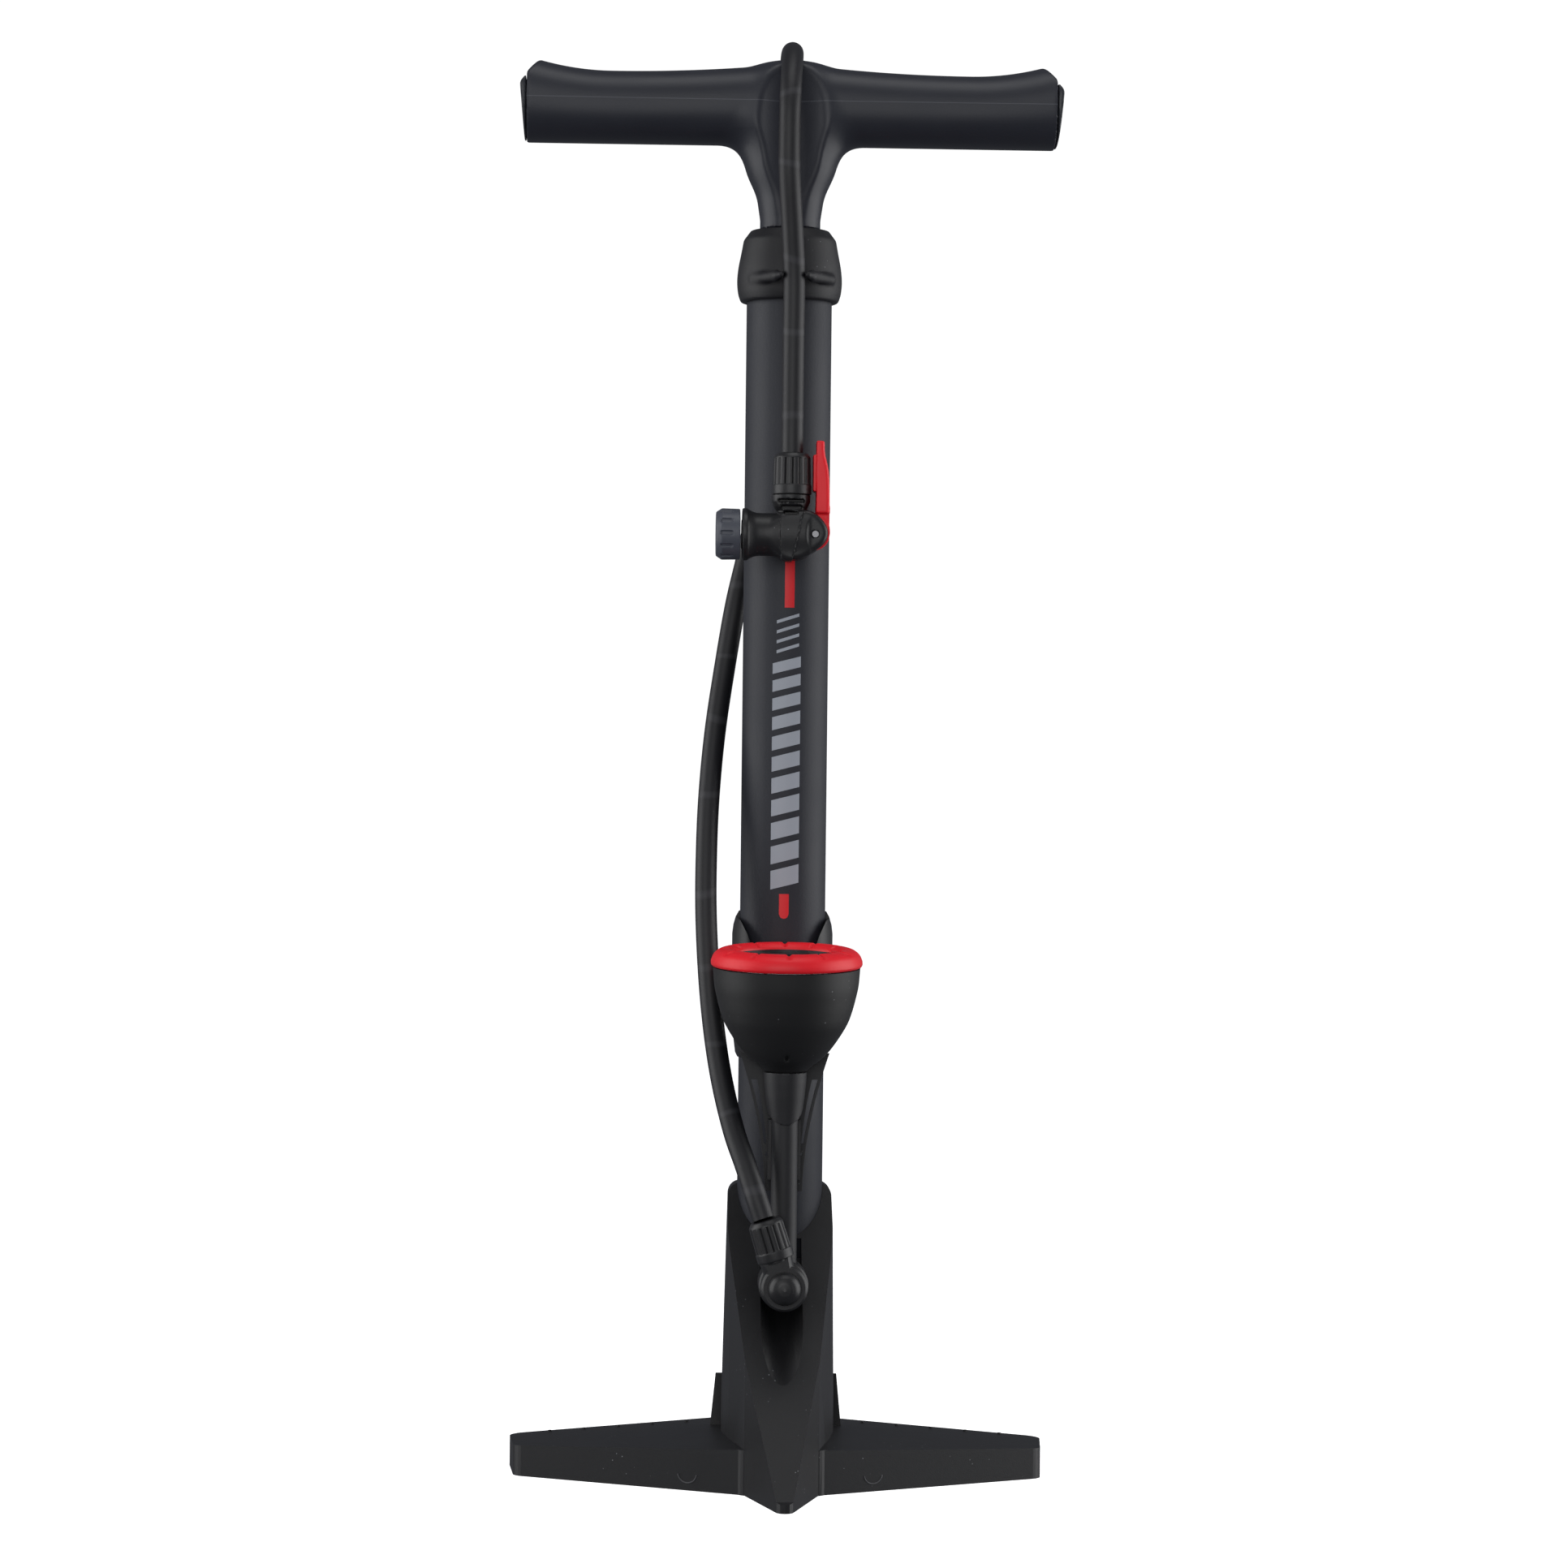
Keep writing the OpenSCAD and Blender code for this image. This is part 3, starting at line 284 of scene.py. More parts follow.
def make_materials():
    """One finish for each of the record's slots, and four for print and for the painted highlight on
    thin raised marks. Colours are linear shares of red, green and blue, and the number after them is
    the roughness."""
    # The handle's parting line at 610 mm gets a painted highlight, a lighter grey band
    handle_seam_highlight = ("Z", 610, 0.13)
    return {
        "handle_plastic": finish_of("handle_plastic", (0.020, 0.022, 0.031), 0.45, grain=0.7,
                                    depth=0.02, seam=handle_seam_highlight),
        "plug_plastic": finish_of("plug_plastic", (0.022, 0.024, 0.030), 0.38, grain=0.6,
                                  depth=0.015),
        "foot_plastic": finish_of("foot_plastic", (0.010, 0.010, 0.011), 0.50, grain=0.6,
                                  depth=0.03, specks=0.6),
        "stud_plastic": finish_of("stud_plastic", (0.006, 0.006, 0.007), 0.55),
        "cap_plastic": finish_of("cap_plastic", (0.009, 0.009, 0.011), 0.55, grain=0.6, depth=0.02,
                                 specks=0.25),
        "bracket_plastic": finish_of("bracket_plastic", (0.011, 0.011, 0.012), 0.45, specks=0.3),
        "bowl_plastic": finish_of("bowl_plastic", (0.010, 0.010, 0.010), 0.55, grain=0.5,
                                  depth=0.012, specks=0.6),
        "stem_plastic": finish_of("stem_plastic", (0.012, 0.012, 0.014), 0.55, specks=0.3),
        "fitting_plastic": finish_of("fitting_plastic", (0.014, 0.014, 0.015), 0.42, specks=0.4),
        "nut_plastic": finish_of("nut_plastic", (0.016, 0.016, 0.017), 0.42, specks=0.3),
        "head_plastic": finish_of("head_plastic", (0.010, 0.010, 0.011), 0.42, grain=0.45,
                                  depth=0.012, specks=0.3),
        "inner_plastic": finish_of("inner_plastic", (0.05, 0.05, 0.055), 0.45),
        "grey_plastic": finish_of("grey_plastic", (0.075, 0.082, 0.102), 0.42, grain=0.5,
                                  depth=0.015),
        "red_plastic": finish_of("red_plastic", (0.95, 0.006, 0.018), 0.45, grain=0.6, depth=0.012,
                                 mottle=0.06),
        "barrel_coat": finish_of("barrel_coat", (0.021, 0.023, 0.031), 0.58, grain=0.9,
                                 depth=0.05, mottle=0.1),
        "seal_rubber": finish_of("seal_rubber", (0.01, 0.01, 0.01), 0.6),
        "hose_rubber": hose_rubber(),
        "zinc_steel": finish_of("zinc_steel", (0.6, 0.6, 0.62), 0.3, metallic=1.0),
        "spring_steel": finish_of("spring_steel", (0.5, 0.5, 0.52), 0.25, metallic=1.0),
        "pin_steel": finish_of("pin_steel", (0.30, 0.30, 0.31), 0.42, metallic=1.0, depth=0.01),
        "rod_steel": finish_of("rod_steel", (0.7, 0.7, 0.72), 0.14, metallic=1.0, depth=0.002,
                               stretch=(1, 1, 0.02)),
        "brass": finish_of("brass", (0.65, 0.42, 0.16), 0.3, metallic=1.0),
        "dial_print": finish_of("dial_print", (0.8, 0.8, 0.79), 0.5, mottle=0.03, depth=0.003),
        "needle_paint": finish_of("needle_paint", (0.6, 0.02, 0.02), 0.4, mottle=0.05),
        "clear_lens": clear_lens(),
        "white_print": finish_of("white_print", (0.42, 0.45, 0.50), 0.45, mottle=0.08, grain=0.9,
                                 depth=0.03),
        "red_print": finish_of("red_print", (0.85, 0.008, 0.016), 0.45, mottle=0.06, grain=0.9,
                               depth=0.03),
        # Lighter grey for thin raised marks on the foot: a painted highlight
        "painted_edge_highlight": finish_of("painted_edge_highlight", (0.09, 0.09, 0.095), 0.5),
        "black_print": finish_of("black_print", (0.01, 0.01, 0.01), 0.5, mottle=0.05),
    }


# ---- mesh tools ----

def add_piece(name, points, faces, slot, body, replaces=(), material=None, sharp=40):
    """A piece of the object, from points in millimetres about the barrel's axis. slot is its slot
    in the record, and material a finish other than that slot's. Edges bent by more than sharp
    degrees stay crisp. A piece without a body is not attached to one."""
    mesh = bpy.data.meshes.new(name)
    mesh.from_pydata([tuple(p) for p in placed(points)], [], [tuple(f) for f in faces])
    shaped = bmesh.new()
    shaped.from_mesh(mesh)
    bmesh.ops.recalc_face_normals(shaped, faces=shaped.faces)
    shaped.to_mesh(mesh)
    shaped.free()
    mesh.shade_smooth()
    mesh.set_sharp_from_angle(angle=math.radians(sharp))
    mesh.materials.append(MATERIALS[material or slot])
    piece = bpy.data.objects.new(name, mesh)
    bpy.context.scene.collection.objects.link(piece)
    if body:
        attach(piece, body)
    if replaces:
        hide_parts(*replaces)
    return piece


def smooth_line(points, steps):
    """A smooth curve through points, with some steps between each pair."""
    p = np.asarray(points, float)
    p = np.vstack([2 * p[0] - p[1], p, 2 * p[-1] - p[-2]])
    out = []
    for a, b, c, d in zip(p, p[1:], p[2:], p[3:]):
        for t in np.arange(steps) / steps:
            out.append(0.5 * (2 * b + (c - a) * t + (2 * a - 5 * b + 4 * c - d) * t ** 2
                              + (3 * b - a - 3 * c + d) * t ** 3))
    out.append(p[-2])
    return np.array(out)


def swept(line, radius, sides, last=None):
    """Points and faces of a round bar along a line; its rings don't twist. last is the direction
    in which it ends, where the line's own last step doesn't give it."""
    line = np.asarray(line, float)
    along = np.gradient(line, axis=0)
    if last is not None:
        along[-1] = last
    along /= np.linalg.norm(along, axis=1)[:, None]
    side = np.cross(along[0], [0, 1, 0] if abs(along[0][1]) < 0.9 else [1, 0, 0])
    angles = 2 * math.pi * np.arange(sides) / sides
    points = []
    for centre, ahead in zip(line, along):
        side = side - ahead * side.dot(ahead)
        side /= np.linalg.norm(side)
        up = np.cross(ahead, side)
        points.extend(centre + radius * (math.cos(a) * side + math.sin(a) * up) for a in angles)
    return np.array(points), grid_faces(len(line), sides, capped=True)


def grid_faces(rings, sides, capped=False, closed=False):
    """Faces over rings of points, each ring with the same number of points."""
    faces = []
    for i in range(rings if closed else rings - 1):
        for k in range(sides):
            a, b = i * sides + k, i * sides + (k + 1) % sides
            c, d = (b + sides) % (rings * sides), (a + sides) % (rings * sides)
            faces.append((a, b, c, d))
    if capped:
        faces.append(tuple(range(sides)))
        faces.append(tuple(range((rings - 1) * sides, rings * sides)))
    return faces


def rounded(outline, radius, closed=False):
    """Rounds the corners of an outline; radius may be one number or one for each corner."""
    steps = 4
    p = np.asarray(outline, float)
    count = len(p)
    out = []
    for i in range(count):
        if not closed and i in (0, count - 1):
            out.append(p[i])
            continue
        before, after = p[i - 1] - p[i], p[(i + 1) % count] - p[i]
        size = radius if np.isscalar(radius) else radius[i]
        cut = min(size, 0.45 * np.linalg.norm(before), 0.45 * np.linalg.norm(after))
        start = p[i] + before / np.linalg.norm(before) * cut
        end = p[i] + after / np.linalg.norm(after) * cut
        for t in np.arange(steps + 1) / steps:
            out.append((1 - t) ** 2 * start + 2 * t * (1 - t) * p[i] + t ** 2 * end)
    return np.array(out)


def finely(profile, step):
    """Adds points along a profile so that its long stretches have one about every step."""
    out = []
    for a, b in zip(profile, profile[1:]):
        a, b = np.asarray(a, float), np.asarray(b, float)
        count = max(1, int(np.linalg.norm(b - a) / step))
        out.extend(a + (b - a) * t for t in np.arange(count) / count)
    return out + [np.asarray(profile[-1], float)]


def turned(profile, origin, direction=(0, 0, 1), sides=96, closed=False, wave=None):
    """A solid turned about a line from origin. profile is (radius, distance along the line).
    wave(radius, distance, angle) gives the radius where it changes round the piece."""
    direction = Vector(direction).normalized()
    turn = np.array(Vector((0, 0, 1)).rotation_difference(direction).to_matrix())
    angles = 2 * math.pi * np.arange(sides) / sides
    points = []
    for radius, height in profile:
        reach = np.full(sides, radius) if wave is None else wave(radius, height, angles)
        ring = np.column_stack([reach * np.cos(angles), reach * np.sin(angles),
                                np.full(sides, height)])
        points.append(ring @ turn.T + np.asarray(origin, float))
    return np.vstack(points), grid_faces(len(profile), sides, not closed, closed)


def flat_bar(x0, x1, y0, y1, z0, z1):
    """Points and faces of a small straight-sided bar."""
    points = [(x, y, z) for z in (z0, z1) for x, y in ((x0, y0), (x1, y0), (x1, y1), (x0, y1))]
    faces = [(0, 3, 2, 1), (4, 5, 6, 7), (0, 1, 5, 4), (1, 2, 6, 5), (2, 3, 7, 6), (3, 0, 4, 7)]
    return np.array(points, float), faces


def spun(part, degrees):
    """A part turned about +Z."""
    points, faces = part
    a = math.radians(degrees)
    turn = np.array([[math.cos(a), -math.sin(a), 0], [math.sin(a), math.cos(a), 0], [0, 0, 1]])
    return points @ turn.T, faces


def joined(parts):
    """Several (points, faces) as one."""
    points, faces, start = [], [], 0
    for one_points, one_faces in parts:
        points.append(one_points)
        faces.extend([tuple(i + start for i in f) for f in one_faces])
        start += len(one_points)
    return np.vstack(points), faces


# ---- shapes given by a field: below zero inside, above zero outside ----

def melt(a, b, size):
    """Joins two fields with a fillet of about that size."""
    share = np.clip(0.5 + 0.5 * (b - a) / size, 0, 1)
    return b * (1 - share) + a * share - size * share * (1 - share)


def trim(a, b, size):
    """What two fields have in common, with a rounded edge."""
    return -melt(-a, -b, size)


def bar(x, y, z, start, end, r_start, r_end):
    """Field of a round-ended bar that tapers."""
    start, end = np.asarray(start, float), np.asarray(end, float)
    way = end - start
    t = np.clip(((x - start[0]) * way[0] + (y - start[1]) * way[1] + (z - start[2]) * way[2])
                / way.dot(way), 0, 1)
    gap = np.sqrt((x - start[0] - t * way[0]) ** 2 + (y - start[1] - t * way[1]) ** 2
                  + (z - start[2] - t * way[2]) ** 2)
    return gap - (r_start + (r_end - r_start) * t)


def skin_of(field, low, high, cell):
    """Points and quads over the surface where a field is zero, inside a box."""
    low, high = np.asarray(low, float), np.asarray(high, float)
    axes = [np.arange(a, b + cell, cell) for a, b in zip(low, high)]
    inside = field(*np.meshgrid(*axes, indexing="ij")) < 0
    shape = np.array(inside.shape) - 1
    corners = [inside[i:shape[0] + i, j:shape[1] + j, k:shape[2] + k]
               for i in (0, 1) for j in (0, 1) for k in (0, 1)]
    count = sum(c.astype(int) for c in corners)
    mixed = (count > 0) & (count < 8)
    index = np.full(mixed.shape, -1)
    index[mixed] = np.arange(mixed.sum())
    points = low + (np.argwhere(mixed) + 0.5) * cell
    faces = []
    for axis in range(3):
        one, two = [k for k in range(3) if k != axis]
        here = np.moveaxis(inside, [axis, one, two], [0, 1, 2])
        cells = np.moveaxis(index, [axis, one, two], [0, 1, 2])
        crossing = np.argwhere(here[:-1, 1:-1, 1:-1] != here[1:, 1:-1, 1:-1])
        i, j, k = crossing[:, 0], crossing[:, 1] + 1, crossing[:, 2] + 1
        faces.append(np.column_stack([cells[i, j, k], cells[i, j - 1, k],
                                      cells[i, j - 1, k - 1], cells[i, j, k - 1]]))
    return settle(points, np.vstack(faces), field, cell), np.vstack(faces)


def settle(points, faces, field, cell):
    """Evens out the points of a skin and moves them onto the field's zero surface."""
    even_rounds, all_rounds = 3, 5
    nudge = 0.02 * cell
    edges = np.vstack([faces[:, [k, (k + 1) % 4]] for k in range(4)])
    edges = np.unique(np.sort(edges, axis=1), axis=0)
    links = np.bincount(edges.ravel(), minlength=len(points))[:, None]
    for done in range(all_rounds):
        if done < even_rounds:
            total = np.zeros_like(points)
            np.add.at(total, edges[:, 0], points[edges[:, 1]])
            np.add.at(total, edges[:, 1], points[edges[:, 0]])
            points = 0.4 * points + 0.6 * total / links
        value = field(*points.T)
        slope = np.column_stack([
            (field(*(points + step).T) - field(*(points - step).T)) / (2 * nudge)
            for step in np.eye(3) * nudge])
        move = value[:, None] * slope / np.maximum((slope ** 2).sum(1), 0.05)[:, None]
        points = points - np.clip(move, -0.8 * cell, 0.8 * cell)
    return points


# ---- the hose ----

# The route of part.scad: x to the side, distance in front of the barrel's axis, height
HOSE_ROUTE = [
    (-9.2, 69, 120.3), (-12.5, 67, 130), (-17, 61.5, 143), (-22, 54, 157), (-27, 44.5, 177),
    (-30.5, 36.5, 198), (-33, 29.5, 222), (-34.5, 21.5, 250), (-34.5, 14, 276), (-33.5, 6, 302),
    (-31, -3, 330), (-27, -12, 358), (-22, -20, 388), (-16, -25.5, 415), (-11, -28, 445),
    (-6, -29.5, 480), (-2, -31, 515), (0, -34, 550), (0, -37.5, 580), (0, -38, 592),
    (0, -36.5, 605.5), (0, -31, 617), (0, -22, 626), (0, -11, 631.5), (0, 0, 633),
    (0, 11, 631.5), (-0.5, 22, 626), (-1.2, 31, 617), (-1.8, 36.5, 605.5), (-2, 38, 592),
    (-1.8, 37.5, 575), (-0.2, 33.5, 552), (1, 30.2, 531), (1, 30, 505), (1, 30, 480), (1, 30, 453)]
HOSE_D = 9.6


def hose_line():
    """The hose's centre line, in millimetres."""
    route = [(x, -reach, z) for x, reach, z in HOSE_ROUTE]
    return smooth_line(route, 8)


def add_hose():
    """One tube from the foot fitting, behind the barrel and over the handle, to the valve head."""
    line = hose_line()
    points, faces = swept(line, HOSE_D / 2, sides=28, last=(0, 0, -1))
    hose = add_piece("hose", points, faces, "hose_rubber", None,
                     replaces=["hose_rear", "hose_over_handle", "hose_front"])
    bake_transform(hose)
    return hose


# ---- handle ----

HANDLE_FOOT_Z = heights_of("handle")[0]
GRIP_BOTTOM = 592
GRIP_END = 117.6
HUB_Z = 600


def grip_top(x):
    """Height of the grip's hollowed upper edge."""
    dip_x, dip_z = 80, 624
    outer_rise, outer_run = 4.3, 32
    inner_rise, inner_run = 2.0, 53
    out = np.abs(x) - dip_x
    return dip_z + np.where(out > 0, outer_rise * (out / outer_run) ** 2,
                            inner_rise * (out / inner_run) ** 2)


def grip_field(x, y, z, inset=0.0):
    """The grip without its ends: flat-bottomed, hollowed on top, a little fuller at the ends."""
    highest = 633
    slim_half_y, flare = 16.4, 1.2
    squareness = 2.3
    bevel_x, bevel_z = 112.3, 628.0
    slope_x, slope_z = 0.79, 0.6135
    top = np.minimum(grip_top(x), highest)
    half_z = (top - GRIP_BOTTOM) / 2 - inset
    half_y = slim_half_y + flare * (np.abs(x) / GRIP_END) ** 2 - inset
    off_y = np.abs(y / half_y)
    off_z = np.abs((z - GRIP_BOTTOM - inset - half_z) / half_z)
    round_part = (off_y ** squareness + off_z ** squareness) ** (1 / squareness)
    bevel = slope_x * (np.abs(x) - bevel_x) + slope_z * (z - bevel_z) + inset
    return trim((round_part - 1) * half_z, bevel, 1.2)


def neck_field(x, y, z):
    """The neck and the hub: a widening post with a band at its foot, under a dome."""
    post_r, post_widens, post_foot_z = 13.2, 0.15, 557
    hub_half_x, hub_half_y, hub_half_z = 21.8, 19.5, 29.2
    fullness = 3.2
    band_r, band_z, band_half = 13.45, 556.6, 2.3
    spread = np.hypot(x, y)
    post = (spread - post_r - post_widens * (z - post_foot_z)) * 0.98
    post = trim(post, z - HUB_Z, 6)
    around = np.hypot(x / hub_half_x, y / hub_half_y)
    upward = np.abs((z - HUB_Z) / hub_half_z)
    dome = ((around ** fullness + upward ** fullness) ** (1 / fullness) - 1) * 21
    neck = melt(post, dome, 5)
    band = np.maximum(spread - band_r, np.abs(z - band_z) - band_half)
    return np.minimum(neck, band)


def handle_field(x, y, z):
    """Grip and neck in one moulding, with channels for the hose."""
    ends = np.abs(x) - GRIP_END
    grip = trim(grip_field(x, y, z), ends, 0.8)
    fillet = np.interp(z, [598, 616], [11, 4])
    whole = melt(grip, neck_field(x, y, z), fillet)
    # A shallow channel down the front and back, and one over the top, where the hose lies
    channel_y = 12.5 + x ** 2 / 45
    whole = trim(whole, np.abs(y) - channel_y, 1.8)
    hose_x, hose_z, gap = 0.3, 633.2, 0.25
    saddle = HOSE_D / 2 + gap - np.hypot(x - hose_x, z - hose_z)
    whole = trim(whole, saddle, 0.8)
    return np.maximum(whole, HANDLE_FOOT_Z - z)


def plug_field(x, y, z):
    """End plug: a cap that follows the grip's outline and bulges most near its top."""
    seam, inset = 0.25, 0.45
    bulge = 0.9 + 2.1 * np.clip((z - GRIP_BOTTOM) / 24, 0, 1)
    slab = np.maximum(np.abs(x) - GRIP_END - bulge, GRIP_END + seam - np.abs(x))
    return trim(grip_field(x, y, z, inset=inset), slab, 1.0)


def add_handle():
    """The handle's moulding and its two end plugs."""
    points, faces = skin_of(handle_field, (-119, -24, 552.5), (119, 24, 632), 0.9)
    add_piece("handle_moulding", points, faces, "handle_plastic", "plunger", ["handle"])
    for side, name in ((-1, "left"), (1, "right")):
        near, far = sorted((side * (GRIP_END - 1), side * (GRIP_END + 4.5)))
        points, faces = skin_of(plug_field, (near, -19, 590), (far, 19, 632), 0.6)
        add_piece("handle_plug_" + name, points, faces, "plug_plastic", "plunger",
                  ["end_plug_" + name])


# ---- cap ----

def add_cap():
    """Cap with a bevelled shoulder, and two prongs that curl round the hose."""
    cad_low_z, cad_top_z = heights_of("top_cap")
    lowered = 0.1
    low_z, top_z = cad_low_z - lowered, cad_top_z - lowered
    hose_x, hose_y, clip_z = 1.0, -30.2, 531.0
    profile = rounded([(19.1, low_z), (21.6, low_z), (22.9, 525.4), (23.5, 530.8), (23.0, 537),
                       (21.6, 544), (20.6, 549.6), (17.4, top_z), (13.5, top_z)],
                      [0, 1.2, 2, 4, 4, 4, 0.7, 0.5, 0])
    heights, radii = profile[1:-1, 1], profile[1:-1, 0]
    rising = np.concatenate([[True], np.diff(heights) > 1e-6])
    heights, radii = heights[rising], radii[rising]

    def cap_field(x, y, z):
        spread = np.hypot(x, y)
        body = spread - np.interp(z, heights, radii)
        whole = trim(body, np.maximum(z - top_z, low_z - z), 0.35)
        for side in (-1, 1):
            root = (side * 17.2 + hose_x, -14.6, clip_z)
            elbow = (side * 7.9 + hose_x, hose_y + 2.0, clip_z)
            tip = (side * 5.9 + hose_x, hose_y - 2.9, clip_z)
            prong = bar(x, y, (z - clip_z) * 0.85 + clip_z, root, elbow, 1.7, 2.2)
            prong = melt(prong, bar(x, y, z, elbow, tip, 2.0, 1.4), 0.8)
            whole = melt(whole, prong, 1.8)
        return np.maximum(whole, HOSE_D / 2 + 0.15 - np.hypot(x - hose_x, y - hose_y))

    points, faces = skin_of(cap_field, (-25, -37, 520.5), (25, 25, 555.5), 0.8)
    add_piece("cap_moulding", points, faces, "cap_plastic", "pump_body", ["top_cap"])


# ---- hose nuts ----

# The middle of the valve head: its lever's pin is to the side, and the upper nut is on its neck
PIVOT_X = 10.2
HEAD = centre_of("lever_pin") - (PIVOT_X, 0, 0)
UPPER_NUT_Z, UPPER_NUT_TOP_Z = heights_of("hose_nut_upper")
NECK_TOP = UPPER_NUT_Z - HEAD[2]


def ribs(count, depth, low, high):
    """Narrow grooves round a piece between two heights, as turned()'s wave."""
    def wave(radius, height, angles):
        if not low <= height <= high:
            return np.full(len(angles), radius)
        groove = (0.5 + 0.5 * np.cos(count * angles)) ** 5
        return radius - depth * groove
    return wave


def add_hose_nut(name, node_name, origin, direction, radius, height, rib_low, rib_high):
    """A nut that narrows upwards, with grooves round it between rib_low and rib_high."""
    profile = rounded([(5.2, 0), (radius, 0), (radius, rib_low - 0.4), (radius - 0.25, rib_low),
                       (radius - 0.5, rib_high), (radius - 0.7, rib_high + 0.8),
                       (radius - 1.9, height), (5.0, height)], 0.5)
    points, faces = turned(finely(profile, 0.8), origin, direction, sides=192,
                           wave=ribs(16, 0.75, rib_low, rib_high))
    return add_piece(name, points, faces, "nut_plastic", "pump_body", [node_name], sharp=50)


def add_hose_nuts():
    """The nut on the foot's fitting, which leans with the hose, and the one on the valve head."""
    middle = centre_of("hose_nut_lower")
    height = 17.6
    lean = math.radians(17.4)
    up_hose = np.array([-math.sin(lean), 0, math.cos(lean)])
    lower = add_hose_nut("foot_hose_nut", "hose_nut_lower", middle - height / 2 * up_hose, up_hose,
                         radius=8.1, height=height, rib_low=4.2, rib_high=15.2)
    upper = add_hose_nut("head_hose_nut", "hose_nut_upper", HEAD + (0, 0, NECK_TOP), (0, 0, 1),
                         radius=8.6, height=UPPER_NUT_TOP_Z - UPPER_NUT_Z,
                         rib_low=4.4, rib_high=15.8)
    return [lower, upper]


# ---- valve head ----

def head_shell(u, v, w):
    """The valve head's flange, waist and cheeks."""
    flange_u, flange_half, flange_r = -20.4, 1.1, 11.3
    spread = np.hypot(v, w)
    waist = 9.4 + 1.9 * np.exp(-((u + 20.5) / 3.2) ** 2)
    barrel = trim(spread - waist, np.maximum(-21.4 - u, u - 6), 0.7)
    flange = trim(spread - flange_r, np.abs(u - flange_u) - flange_half, 0.5)
    # Cheeks: a rounded block that swells below and ends round the pin
    cheek_half = 8.4
    heel = np.hypot(u - 1.0, w + 0.9) - 10.3
    shoulder = np.hypot(u - 6.0, w - 3.6) - 6.8
    end = np.hypot(u - 9.6, w - 0.6) - 6.2
    block = melt(melt(heel, end, 5), shoulder, 3)
    cheeks = trim(block, np.abs(v) - cheek_half, 2.6)
    return melt(melt(barrel, flange, 0.8), cheeks, 3.0)


def head_hollows(u, v, w):
    """The bore along the head, the lever's room between the cheeks, and the pin's hole."""
    bore_r, bore_end, room_half, cam_room, hole_r = 6.5, 5.8, 4.8, 7.6, 1.6
    bore = np.maximum(np.hypot(v, w) - bore_r, u - bore_end)
    from_pin = np.hypot(u - PIVOT_X, w)
    above = np.maximum(2.6 - u, np.abs(w - 4) - 4)
    outside = np.maximum(PIVOT_X - u, -cam_room - w)
    swing = np.minimum(from_pin - cam_room, np.minimum(above, outside))
    room = np.maximum(np.abs(v) - room_half, swing)
    return np.minimum(np.minimum(bore, room), from_pin - hole_r)


def head_field(x, y, z):
    """Body of the valve head, with its slotted neck and the strap over its front.
    u runs along the head, v to the back and w up, all from the head's centre."""
    u, v, w = x - HEAD[0], y - HEAD[1], z - HEAD[2]
    body = head_shell(u, v, w)
    # The neck narrows into a strap that runs down over the front
    half = np.interp(w, [-12, 0, 6, 8, 10, 12, 14.5, NECK_TOP],
                     [2.3, 4.0, 4.3, 4.9, 6.2, 7.6, 8.5, 8.6])
    lean = -0.4 - 0.09 * np.clip(9 - w, 0, 21)
    neck = trim(np.hypot(u - lean, v) - half, np.abs(w - 12.5) - 5.0, 0.5)
    strap_rise = 0.9
    strap_ends = np.maximum(v, w - 10)
    strap = trim(np.abs(u - lean) - half, np.maximum(body - strap_rise, strap_ends), 0.3)
    whole = np.minimum(melt(body, neck, 1.2), strap)
    slot_r, slot_back = 0.8, -3.2
    for height, reach in ((14.7, 5.9), (11.9, 4.6), (9.2, 3.3)):
        past_end = np.maximum(np.abs(u - lean) - reach + slot_r, 0)
        slot = np.maximum(np.hypot(past_end, w - height) - slot_r, v - slot_back)
        whole = np.maximum(whole, -slot)
    return np.maximum(whole, -head_hollows(u, v, w))


def lever_field(x, y, z):
    """Thumb lever: a cam between the cheeks and a wider arm above it.
    u, v and w run as in head_field, from the pin's centre."""
    u, v, w = x - HEAD[0] - PIVOT_X, y - HEAD[1], z - HEAD[2]
    arm_foot, arm_top, arm_back = 9.3, 41.2, 0.4
    front = np.interp(w, [7, 12, 18, 24, 28, 31, 34.5, 37, 41.5],
                      [6.2, 6.3, 6.25, 6.0, 5.7, 5.1, 4.2, 3.9, 3.8])
    width = np.interp(w, [9, 14, 30, 41.5], [6.1, 6.2, 5.9, 5.2])
    arm = trim(trim(u - front, np.abs(v) - width, 1.6),
               np.maximum(arm_foot - w, w - arm_top), 1.0)
    arm = trim(arm, arm_back - u, 0.4)
    rib = trim(np.abs(u + 0.1) - 0.9, np.maximum(np.abs(v) - 4.6, np.abs(w - 27) - 8), 0.4)
    # The cam's reach from the pin, by the angle round it: most where it presses the plunger
    cam_half, pin_r = 4.4, 1.5
    turn = np.degrees(np.arctan2(-w, -u))
    reach = np.interp(turn, [-180, -92, -75, -24, 0, 90, 140, 180],
                      [6.4, 8.4, 5.8, 4.9, 4.75, 6.5, 6.5, 6.4])
    cam = trim(np.hypot(u, w) - reach, np.abs(v) - cam_half, 0.5)
    link_sides = np.maximum(np.abs(v) - cam_half, np.abs(w - 6) - 6)
    link = trim(np.maximum(0.5 - u, u - 6.2), link_sides, 0.5)
    whole = melt(melt(melt(cam, link, 0.8), arm, 1.0), rib, 0.5)
    return np.maximum(whole, pin_r - np.hypot(u, w))


